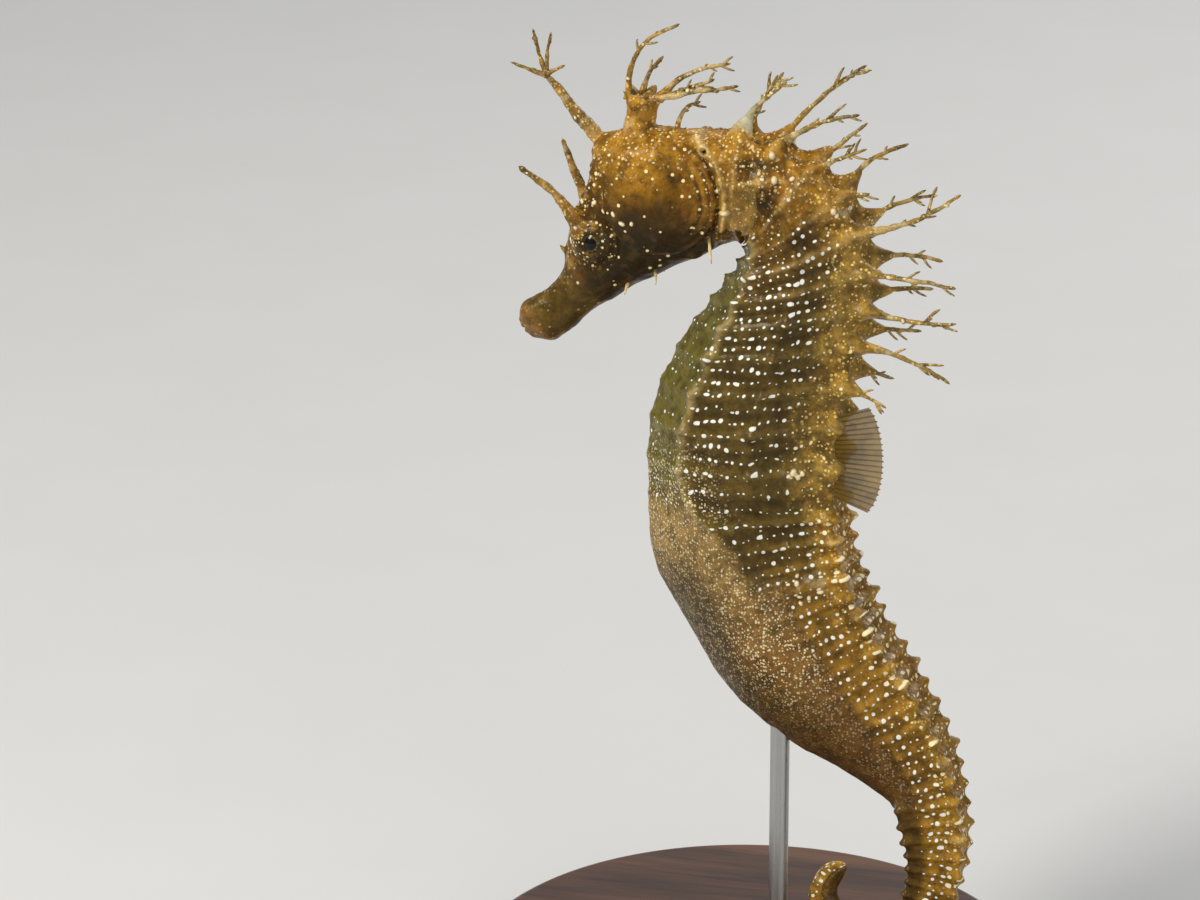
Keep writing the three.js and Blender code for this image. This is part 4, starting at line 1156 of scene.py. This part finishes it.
def build_head_growths(builder):
    """The branched frond of the forehead, and spines over the eyes, on nose, cheeks and nape."""
    colours = mix(ORANGE, CREAM, 0.22), mix(ORANGE, FROND_BROWN, 0.6), CREAM
    thread(builder, FRONTAL_FROND, 1.8, 0.42, 700, flare=0.25, colours=colours, twigs=0, sunk=1.5,
           nodules=0.5)
    colours = FROND_BROWN, FROND_BROWN, GOLD
    for seed, (length, up) in zip(range(720, 800, 20), FRONTAL_TWIGS):
        points = bent_path(FRONTAL_FROND[-1], length, up, -12)
        thread(builder, points, 0.5, 0.18, seed, flare=0.3, colours=colours, twigs=0)
    colours = mix(CHESTNUT, ORANGE, 0.6), mix(ORANGE, FROND_BROWN, 0.7), CREAM
    for seed, spec in zip((800, 840), EYE_SPINES):
        thread(builder, eye_spine_path(*spec), 1.28, 0.3, seed, flare=0.6, colours=colours, twigs=1, sunk=1.2,
               nodules=0.35)
    colours = CHESTNUT, AMBER, CREAM
    thread(builder, nose_spine_path(), 0.6, 0.15, 900, flare=0.3, colours=colours, twigs=0, sunk=0.6)
    colours = CHESTNUT, CREAM, CREAM
    for seed, (foot, length, up) in zip(range(920, 980, 20), CHEEK_SPINES):
        for side in (-1, 1):
            spine = bent_path(mirrored(foot, side), length, up, 0, side * 0.3)
            thread(builder, spine, 0.42, 0.12, seed + 5 * side, flare=0.1, colours=colours, twigs=0, sunk=1.1)
    nape = edges(np.array([-0.45]))[0][0]
    thread(builder, bent_path((nape[0], 0, nape[1] - 0.5), 5.5, 94, -80), 0.5, 0.18, 990, flare=0.5, sunk=0.6)


def build_coronet(builder):
    """The crown: a stem that flares at its foot and opens into five points round a hollow top."""
    axis = unit(CORONET_TOP - CORONET_FOOT)
    height = np.linalg.norm(CORONET_TOP - CORONET_FOOT)
    ahead = unit(np.cross(SIDEWAYS, axis))
    stem_rows, top_rows, around = 40, 8, 72
    f = np.concatenate([np.linspace(-0.25, 1, stem_rows), np.full(top_rows, 1.0)])[:, None]
    inward = np.concatenate([np.ones(stem_rows), np.linspace(0.93, 0.15, top_rows)])[:, None]
    sunk = np.concatenate([np.zeros(stem_rows), np.linspace(0.1, 0.45, top_rows)])[:, None]
    radius = np.interp(f, [-0.25, 0, 0.15, 0.35, 0.65, 0.85, 1], [2.4, 2.2, 2.0, 1.8, 1.7, 1.8, 2.1])
    lobes = np.interp(f, [0, 0.4, 0.7, 1], [0.02, 0.07, 0.14, 0.3])
    turn = circle(around)
    lobe = np.cos(5 * turn)
    reach = radius * inward * (1 + lobes * lobe)
    lift = f * height - sunk + 0.45 * rise(0.75, 1, f) * lobe * inward
    rings = CORONET_FOOT + axis * lift[..., None] + reach[..., None] * swung(turn, ahead, -SIDEWAYS)
    rings += unit(rings - rings.mean(1, keepdims=True)) * (fractal(rings, 1.2, 81) * 0.16)[..., None]
    bulge = bump(turn, 1.25 * np.pi, 0.9) * bump(f, 0.3, 0.22)
    rings += unit(rings - rings.mean(1, keepdims=True)) * (0.45 * bulge)[..., None]
    tint = painted(
        0.85 * mix(ORANGE, AMBER, 0.6 + 0.4 * fractal(rings, 2.0, 83)),
        (CREAM, 0.35 * rise(0.0, 0.6, fractal(rings, 1.1, 85, 2))),
        (FROND_BROWN, 0.6 * rise(0.7, 0.95, f)),
        # Painted shade: darker down into the hollow top.
        (DARK, (1 - inward) * 0.3),
    )
    start = CORONET_FOOT - axis * height * 0.25
    closed_sweep(builder, rings, start, CORONET_TOP - axis * 0.5, tint, CORONET_MASK)
    for seed, (round_it, length, up, bend, base, lean, twigs) in zip(range(600, 700, 20), CORONET_FRONDS):
        foot = CORONET_TOP + np.array([*(CORONET_RIM * direction(round_it)), -0.8])
        thread(builder, bent_path(foot, length, up, bend, lean), base * 1.15, 0.2, seed, flare=0.45,
               colours=(AMBER, FROND_BROWN, CREAM), twigs=twigs)


# ================================================================== materials
class Nodes:
    """Short calls for building a material's nodes."""

    def __init__(self, name):
        self.material = bpy.data.materials.new(name)
        self.material.use_nodes = True
        self.tree = self.material.node_tree
        self.shader = self.tree.nodes["Principled BSDF"]

    def new(self, kind, inputs=(), **settings):
        node = self.tree.nodes.new(kind)
        for key, value in settings.items():
            setattr(node, key, value)
        for key, value in dict(inputs).items():
            self.feed(node.inputs[key], value)
        return node

    def feed(self, socket, value):
        if isinstance(value, bpy.types.NodeSocket):
            self.tree.links.new(value, socket)
        else:
            socket.default_value = value

    def math(self, operation, *values):
        node = self.new("ShaderNodeMath", operation=operation)
        for socket, value in zip(node.inputs, values):
            self.feed(socket, value)
        return node.outputs[0]

    def times(self, a, b):
        return self.math("MULTIPLY", a, b)

    def scaled(self, value, factor, offset):
        return self.math("MULTIPLY_ADD", value, factor, offset)

    def less(self, a, b):
        return self.math("SUBTRACT", a, b)

    def most(self, a, b):
        return self.math("MAXIMUM", a, b)

    def ramp(self, value, low, high, start=0.0, end=1.0):
        """A smooth step from start to end as the value goes from low to high."""
        node = self.new("ShaderNodeMapRange", interpolation_type="SMOOTHSTEP")
        for socket, number in zip(node.inputs, (value, low, high, start, end)):
            self.feed(socket, number)
        return node.outputs["Result"]

    def over(self, under, colour, strength):
        """Lays a colour over another one; the strength may vary over the surface."""
        node = self.new("ShaderNodeMix", data_type="RGBA", blend_type="MIX")
        for index, value in ((0, strength), (6, under), (7, colour)):
            self.feed(node.inputs[index], rgba(value) if isinstance(value, np.ndarray) else value)
        return node.outputs[2]

    def noise(self, where, scale, detail=3.0, rough=0.55):
        inputs = {"Vector": where, "Scale": scale, "Detail": detail, "Roughness": rough}
        return self.new("ShaderNodeTexNoise", inputs).outputs["Fac"]

    def where(self):
        return self.new("ShaderNodeTexCoord").outputs["Object"]

    def stretched(self, *scale):
        return self.new("ShaderNodeMapping", {"Vector": self.where(), "Scale": scale}).outputs[0]

    def attribute(self, name):
        return self.new("ShaderNodeAttribute", attribute_name=name)

    def parts(self, colour):
        return self.new("ShaderNodeSeparateColor", {"Color": colour}).outputs

    def bump(self, height, strength, distance, below=None):
        node = self.new("ShaderNodeBump", {"Height": height, "Strength": strength, "Distance": distance})
        if below is not None:
            self.feed(node.inputs["Normal"], below)
        return node.outputs["Normal"]

    def finish(self, colour, roughness, normal, **others):
        """Feeds the shader's own sockets; others are named in lower case with underscores."""
        names = {key.lower().replace(" ", "_"): key for key in self.shader.inputs.keys()}
        for key, value in dict(base_color=colour, roughness=roughness, normal=normal, **others).items():
            if value is not None:
                self.feed(self.shader.inputs[names[key]], value)
        return self.material


DOT_SPACING = 1.02


def rgba(colour):
    return (*(float(part) for part in colour), 1.0)


def rowed_dots(n, where, rowed):
    """Round dots in rows that run round the body; fewer and smaller where the mask is low."""
    place = n.new("ShaderNodeSeparateXYZ", {"Vector": n.attribute("skin_place").outputs["Vector"]})
    girth, row_place, row_length = place.outputs
    swayed = n.math("ADD", row_place, n.scaled(n.noise(where, 260, 2.0), 1.1, -0.55))
    row = n.math("ROUND", swayed)
    across = n.times(n.less(swayed, row), row_length)
    shift = n.new("ShaderNodeTexWhiteNoise", {"W": row}, noise_dimensions="1D").outputs["Value"]
    step = n.math("ADD", n.math("DIVIDE", girth, DOT_SPACING), n.times(shift, 7.0))
    cell = n.math("ROUND", step)
    along = n.times(n.less(step, cell), DOT_SPACING)
    key = n.new("ShaderNodeCombineXYZ", {"X": row, "Y": cell, "Z": 3.0}).outputs[0]
    dice = n.new("ShaderNodeTexWhiteNoise", {"Vector": key}, noise_dimensions="3D")
    red, green, blue = n.parts(dice.outputs["Color"])
    along = n.math("ADD", along, n.scaled(red, 0.5, -0.25))
    across = n.math("ADD", across, n.scaled(green, 0.44, -0.22))
    along = n.times(along, n.ramp(dice.outputs["Value"], 0.72, 0.8, 1.0, 0.6))
    apart = n.math("SQRT", n.math("ADD", n.times(along, along), n.times(across, across)))
    largest = n.scaled(n.math("POWER", blue, 1.6), 0.22, 0.08)
    radius = n.times(largest, n.scaled(rowed, 0.6, 0.4))
    shown = n.ramp(n.less(rowed, n.times(red, 0.9)), 0.0, 0.05)
    return n.times(n.ramp(n.less(apart, radius), -0.045, 0.045, 1.0, 0.0), shown)


def cell_specks(n, where, scale, smallest, largest, power=1.5, soft=0.07):
    """Round specks scattered in cells of an even size, with radii as shares of a cell."""
    cells = n.new("ShaderNodeTexVoronoi", {"Vector": where, "Scale": scale})
    pick = n.parts(cells.outputs["Color"])[0]
    radius = n.scaled(n.math("POWER", pick, power), largest - smallest, smallest)
    return n.ramp(n.less(cells.outputs["Distance"], radius), -soft, soft, 1.0, 0.0)


def skin_material():
    """Mottled skin under gold flecks, fine specks, scattered dots and dots in rows, with a thin wet coat."""
    n = Nodes("seahorse_skin")
    where = n.where()
    zone = n.attribute("zone")
    rowed, specks, gold = n.parts(zone.outputs["Color"])
    scattered = zone.outputs["Alpha"]
    base = n.attribute("tint").outputs["Color"]

    mottle = n.noise(where, 620, 5.0, 0.62)
    grain = n.noise(where, 2600, 3.0, 0.6)
    plain = n.ramp(n.new("ShaderNodeRGBToBW", {"Color": base}).outputs[0], 0.35, 0.6, 1.0, 0.05)
    colour = n.over(base, DARK, n.times(n.ramp(mottle, 0.46, 0.64, 0.0, 0.5), plain))
    colour = n.over(colour, GOLD, n.times(n.ramp(mottle, 0.5, 0.34, 0.0, 0.5), n.scaled(gold, 0.86, 0.12)))
    colour = n.over(colour, DARK, n.times(n.ramp(grain, 0.45, 0.65, 0.0, 0.28), plain))

    flecks = n.most(cell_specks(n, where, 2100, 0.0, 0.42, 1.6), cell_specks(n, where, 1000, 0.0, 0.22, 2.0))
    flecks = n.times(flecks, gold)
    colour = n.over(colour, n.over(FLECK_GOLD, DOT_GOLD, scattered), n.times(flecks, 0.85))
    fine = cell_specks(n, where, 3100, 0.04, 0.5, 1.0, 0.1)
    fine = n.times(n.most(fine, cell_specks(n, where, 1500, 0.0, 0.3, 1.8)), specks)
    colour = n.over(colour, POUCH_SPECK, n.times(fine, 0.85))
    round_dots = n.times(cell_specks(n, where, 900, 0.0, 0.22, 0.8, 0.04), n.ramp(scattered, 0.0, 0.8))
    colour = n.over(colour, HEAD_DOT, n.times(round_dots, 0.95))
    small_dots = n.times(cell_specks(n, where, 800, 0.0, 0.13, 1.2, 0.03), n.ramp(rowed, 0.2, 0.8))
    colour = n.over(colour, SMALL_DOT, n.times(small_dots, 0.85))
    dots = rowed_dots(n, where, rowed)
    colour = n.over(colour, n.over(DOT_WHITE, DOT_GOLD, gold), n.times(dots, 0.96))

    marks = n.most(n.most(dots, round_dots), n.times(n.most(fine, flecks), 0.5))
    pores = n.new("ShaderNodeTexVoronoi", {"Vector": where, "Scale": 1500}).outputs["Distance"]
    first = n.bump(pores, 0.35, 0.0001)
    second = n.bump(n.noise(where, 1100, 5.0, 0.65), 0.5, 0.0003, first)
    return n.finish(
        colour, n.ramp(mottle, 0.35, 0.65, 0.3, 0.5), n.bump(marks, 0.5, 0.00008, second),
        specular_ior_level=0.16, specular_tint=(1.0, 0.8, 0.45, 1.0), coat_weight=0.14, coat_roughness=0.08,
        coat_normal=n.bump(n.noise(where, 900, 4.0, 0.6), 0.35, 0.0003),
    )


def eye_material():
    n = Nodes("eye_iris")
    base = n.attribute("tint").outputs["Color"]
    colour = n.over(base, n.over(base, DARK, 0.5), n.ramp(n.noise(n.where(), 3000, 3.0), 0.5, 0.62))
    return n.finish(colour, 0.2, None, specular_ior_level=0.1, coat_weight=0.3, coat_roughness=0.03)


def fin_material():
    n = Nodes("fin_membrane")
    where = n.where()
    spots = n.ramp(n.noise(where, 1500, 3.0), 0.45, 0.65, 0.0, 0.35)
    colour = n.over(n.attribute("tint").outputs["Color"], FROND_BROWN, spots)
    clear = n.parts(n.attribute("zone").outputs["Color"])[0]
    normal = n.bump(n.noise(where, 3000, 2.0), 0.2, 0.00005)
    return n.finish(colour, 0.3, normal, alpha=clear, coat_weight=0.3)


def wood_material():
    """Walnut with wide dark streaks and fine pores, both drawn out along the grain."""
    n = Nodes("dark_walnut")
    warp = n.noise(n.stretched(18.0, 150.0, 60.0), 1.0, 4.0, 0.6)
    fibre = n.noise(n.stretched(60.0, 900.0, 300.0), 1.0, 6.0, 0.7)
    colour = n.over(srgb(58, 38, 26), srgb(104, 70, 46), n.ramp(warp, 0.35, 0.65))
    colour = n.over(colour, srgb(36, 23, 16), n.ramp(fibre, 0.5, 0.72, 0.0, 0.6))
    roughness = n.ramp(fibre, 0.4, 0.7, 0.34, 0.5)
    return n.finish(colour, roughness, n.bump(fibre, 0.25, 0.0002), coat_weight=0.25, coat_roughness=0.25)


def steel_material():
    n = Nodes("brushed_steel")
    lines = n.noise(n.stretched(2500.0, 2500.0, 60.0), 1.0, 3.0, 0.6)
    roughness = n.ramp(lines, 0.35, 0.65, 0.24, 0.4)
    return n.finish(rgba(srgb(172, 172, 170)), roughness, n.bump(lines, 0.12, 0.00005), metallic=1.0)


def floor_material():
    n = Nodes("pale_floor")
    colour = n.over(srgb(214, 213, 209), srgb(219, 218, 215), n.noise(n.where(), 40, 3.0))
    return n.finish(colour, 0.7, None)


# ================================================================== separate pieces
def build_eye(side):
    """An eyeball with a glossy, slightly raised front, a gold-flecked iris and a dark pupil."""
    polar = np.concatenate([np.linspace(0.02, 1.0, 40), np.linspace(1.05, np.pi - 0.02, 40)])
    a, t = np.meshgrid(polar, circle(64), indexing="ij")
    out = EYE_RADIUS - 0.02 + 0.07 * bump(a, 0, 0.5)
    facing = unit(np.array([-0.18, side * 1.0, 0.04]))
    level = unit(np.cross(facing, np.array([0.0, 0.0, 1.0])))
    upward = np.cross(level, facing)
    centre = mirrored(EYE_CENTRE, side)
    rings = centre + out[..., None] * swung(a, facing, swung(t, level, upward))
    spokes = noise(np.stack([np.cos(t) * 6, np.sin(t) * 6, a * 2], -1), 1.0, 7)
    iris = mix(IRIS_DARK, IRIS_GOLD, rise(-0.1, 0.7, spokes))
    iris = mix(iris, PUPIL_RIM, bump(a, 0.53, 0.022) * 0.45)
    tint = mix(PUPIL, iris, rise(0.47, 0.53, a + 0.02 * np.cos(3 * t + 0.6)))
    tint = mix(tint, EYE_SKIN, rise(0.64, 0.8, a))
    piece = Builder()
    closed_sweep(piece, rings, centre + facing * out[0, 0], centre - facing * EYE_RADIUS, tint, BARE)
    return piece


def scalloped(u):
    """The rounded outline of a fin, from its low corners to 1 in the middle."""
    return np.sqrt(np.clip(np.sin(np.pi * np.clip(u, 0.02, 0.98)), 0, 1))


def fin_sheet(root_line, tip_line, rays, half_thick, normal, clear):
    """A fin: rows from root to tip, with rays that stand proud of a membrane that lets light through."""
    across, along = 12 * rays, FIN_ROWS
    u = np.linspace(0, 1, across)
    v = np.linspace(0, 1, along)[:, None]
    roots, tips = root_line(u), tip_line(u)
    ray = np.cos(np.pi * (u * rays - 0.5)) ** 16
    edge = 1 - 0.035 * (1 - ray)
    grid = roots + (tips - roots) * (v * edge)[..., None]
    ripple = 0.02 * np.sin(u * rays * np.pi * 2) * v + 0.16 * np.sin(u * 5 + 0.6) * v**2
    thick = half_thick * (0.3 + 0.5 * ray) * (1 - 0.7 * v)
    thick[:, [0, -1]] *= 0.4
    lips = [(k, k + 1, 2 * across - 2 - k, 2 * across - 1 - k) for k in range(across - 1)]
    last = (along - 1) * 2 * across
    lips = np.array(lips + [tuple(last + c for c in lip[::-1]) for lip in lips])
    tint = mix(FIN_GOLD, FIN_RAY, ray * 0.85 + 0 * v)
    tint = mix(tint, FIN_SPOT, 0.4 * rise(0.1, 0.5, noise(grid, 1.1, 91)))
    alpha = np.clip((1 - clear) * (0.8 + 0.2 * ray) * (1 - 0.15 * v), 0, 1)

    def both(front, rear):
        return np.concatenate([front, rear[:, ::-1]], 1)

    rings = both(grid + normal * (ripple + thick)[..., None], grid + normal * (ripple - thick)[..., None])
    alpha = both(alpha, alpha)
    mask = np.stack([alpha, alpha * 0, alpha * 0, alpha * 0 + 1], -1)
    piece = Builder()
    piece.add(rings, [np.concatenate([grid_faces(along, 2 * across), lips])], both(tint, tint), mask)
    return piece


def build_dorsal_fin():
    """The fin on the back, over the last rings of the trunk, with a rounded, scalloped edge."""

    def root_line(u):
        back = edges(DORSAL_FIRST_RING + DORSAL_RINGS * u)[0]
        return np.stack([back[:, 0] - 0.9, 0 * u, back[:, 1]], -1)

    def tip_line(u):
        height = DORSAL_HEIGHT * (0.62 + 0.38 * scalloped(u))
        return root_line(u) + np.stack([height, 0 * u, (0.5 - u) * DORSAL_FAN], -1)

    return fin_sheet(root_line, tip_line, DORSAL_RAYS, half_thick=0.25, normal=SIDEWAYS, clear=0.05)


def build_pectoral_fin(side):
    """The small fan behind the gill cover, folded back along the neck."""
    foot = mirrored(PECTORAL_FOOT, side)
    tilt, spread = math.radians(PECTORAL_TILT), math.radians(PECTORAL_SPREAD)
    down = np.array([math.sin(tilt), 0, -math.cos(tilt)])
    out = np.array([math.cos(spread), side * math.sin(spread), 0])

    def line(u, width, reach):
        return foot + down * ((u - 0.5) * width)[:, None] + out * (reach + 0 * u)[:, None]

    def root_line(u):
        return line(u, PECTORAL_WIDTHS[0], -0.5)

    def tip_line(u):
        return line(u, PECTORAL_WIDTHS[1], PECTORAL_LENGTH * (0.7 + 0.3 * scalloped(u)))

    face = unit(np.cross(down, out))
    return fin_sheet(root_line, tip_line, PECTORAL_RAYS, half_thick=0.2, normal=face, clear=0.8)


def turned(name, profile, centre, sides=160):
    """A turned piece: a profile of (radius, height) about an upright axis."""
    profile = np.asarray(profile, float)
    flat = np.array(centre) + profile[:, :1, None] * direction(np.degrees(circle(sides)))
    rings = np.concatenate([flat, np.broadcast_to(profile[:, None, 1:], flat.shape[:2] + (1,))], -1)
    ends = [(*centre, profile[0, 1]), (*centre, profile[-1, 1])]
    faces = [grid_faces(len(profile), sides)[:, ::-1], cap_faces(len(profile), sides)[:, ::-1]]
    return mesh_object(name, np.concatenate([rings.reshape(-1, 3), ends]), faces)


def rounded(corners, radius=0.5, steps=6):
    """A profile with its inner corners rounded."""
    corners = np.asarray(corners, float)
    points = [corners[0]]
    for before, corner, after in zip(corners, corners[1:], corners[2:]):
        a = corner + unit(before - corner) * min(radius, np.linalg.norm(before - corner) / 2)
        b = corner + unit(after - corner) * min(radius, np.linalg.norm(after - corner) / 2)
        for t in np.linspace(0, 1, steps):
            points.append((1 - t) ** 2 * a + 2 * t * (1 - t) * corner + t**2 * b)
    points.append(corners[-1])
    return points


def dress(obj, material, slot, *nodes):
    """Gives a piece its material, hangs it under the root body and hides the nodes of the part that it stands
    in for; the slot is not used.
    """
    obj.data.materials.append(material)
    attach(obj, "root")
    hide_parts(*nodes)


# ================================================================== the animal
skin_builder = Builder()
for build in (build_skin, build_lids, build_coronet, build_head_growths, build_filaments):
    build(skin_builder)
dress(
    skin_builder.make("skin"), skin_material(), "skin",
    "snout", "head", "coronet", "neck", "trunk_upper", "trunk_lower", "pouch",
    "tail_1", "tail_2", "tail_3", "tail_4",
)

SIDES = ((-1, "left"), (1, "right"))
eyes = eye_material()
for side, label in SIDES:
    dress(build_eye(side).make(f"eyeball_{label}"), eyes, "eye", f"eye_{label}")

fins = fin_material()
dress(build_dorsal_fin().make("dorsal_fin"), fins, "fin", "fin_dorsal")
for side, label in SIDES:
    dress(build_pectoral_fin(side).make(f"pectoral_fin_{label}"), fins, "fin", f"fin_pectoral_{label}")

# ================================================================== the stand
base = turned("base_disc", rounded([
    (0.5, 0), (BASE_RADIUS - 0.8, 0), (BASE_RADIUS, 0.8), (BASE_RADIUS, 3.4), (BASE_RADIUS - 1.0, 4.2),
    (BASE_RADIUS - 1.2, BASE_HEIGHT - 0.9), (BASE_RADIUS - 2.4, BASE_HEIGHT), (0.5, BASE_HEIGHT),
]), BASE_CENTRE)
dress(base, wood_material(), "stand_wood", "stand_base")
steel = steel_material()
for label, x in (("pouch", POUCH_ROD_X), ("tail", TAIL_ROD_X)):
    low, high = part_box(f"stand_rod_{label}")
    top = high.z / MM
    bottom = BASE_HEIGHT - 0.2
    rod = turned(f"rod_{label}", rounded([
        (0.3, bottom), (2.2, bottom), (2.2, bottom + 0.9), (ROD_RADIUS + 0.05, bottom + 1.4),
        (ROD_RADIUS, bottom + 1.8), (ROD_RADIUS, top - 0.3), (ROD_RADIUS - 0.3, top), (0.2, top),
    ], 0.25, 5), (x, 0), 48)
    dress(rod, steel, "stand_steel", f"stand_rod_{label}")

# ================================================================== floor, light and camera
FLOOR_REACH = 3.0
floor_mesh = bpy.data.meshes.new("floor")
corners = [(x * FLOOR_REACH, y * FLOOR_REACH, 0) for x, y in ((-1, -1), (1, -1), (1, 1), (-1, 1))]
floor_mesh.from_pydata(corners, [], [(0, 1, 2, 3)])
floor_mesh.materials.append(floor_material())
floor = linked("floor", floor_mesh)

world = bpy.data.worlds.new("studio")
world.use_nodes = True
world.node_tree.nodes["Background"].inputs["Color"].default_value = (0.93, 0.95, 1.0, 1)
world.node_tree.nodes["Background"].inputs["Strength"].default_value = 0.34
bpy.context.scene.world = world
bpy.context.scene.view_settings.view_transform = "Standard"

MIDDLE = Vector((0.0, 0.0, 0.07))
# Name, place, width and height in metres, watts, colour.
SOFTBOXES = (
    ("key", (-0.42, -0.42, 0.62), (0.26, 0.26), 5.4, (1.0, 0.98, 0.94)),
    ("fill", (0.6, -0.5, 0.3), (0.5, 0.5), 1.7, (0.97, 0.98, 1.0)),
    ("rim", (0.25, 0.6, 0.5), (0.4, 0.3), 1.9, (1, 1, 1)),
)
for name, place, size, watts, colour in SOFTBOXES:
    light = bpy.data.lights.new(name, "AREA")
    light.shape = "RECTANGLE"
    light.size, light.size_y = size
    light.energy, light.color = watts, colour
    lamp = linked(name, light)
    lamp.location = place
    lamp.rotation_euler = (MIDDLE - Vector(place)).to_track_quat("-Z", "Y").to_euler()

# The camera looks at this point from this direction, and this much of the width fills the picture.
AIM = Vector((-0.0214, 0.0, 0.0723))
AZIMUTH, ELEVATION = math.radians(14), math.radians(20)
SEEN_WIDTH = 0.1464
camera_data = bpy.data.cameras.new("camera")
camera_data.lens, camera_data.sensor_width = 150, 36
camera_data.clip_start, camera_data.clip_end = 0.05, 20
camera = linked("camera", camera_data)
level = math.cos(ELEVATION)
away = Vector((math.sin(AZIMUTH) * level, -math.cos(AZIMUTH) * level, math.sin(ELEVATION)))
camera.location = AIM + away * (SEEN_WIDTH * camera_data.lens / camera_data.sensor_width)
camera.rotation_euler = (-away).to_track_quat("-Z", "Y").to_euler()
bpy.context.scene.camera = camera
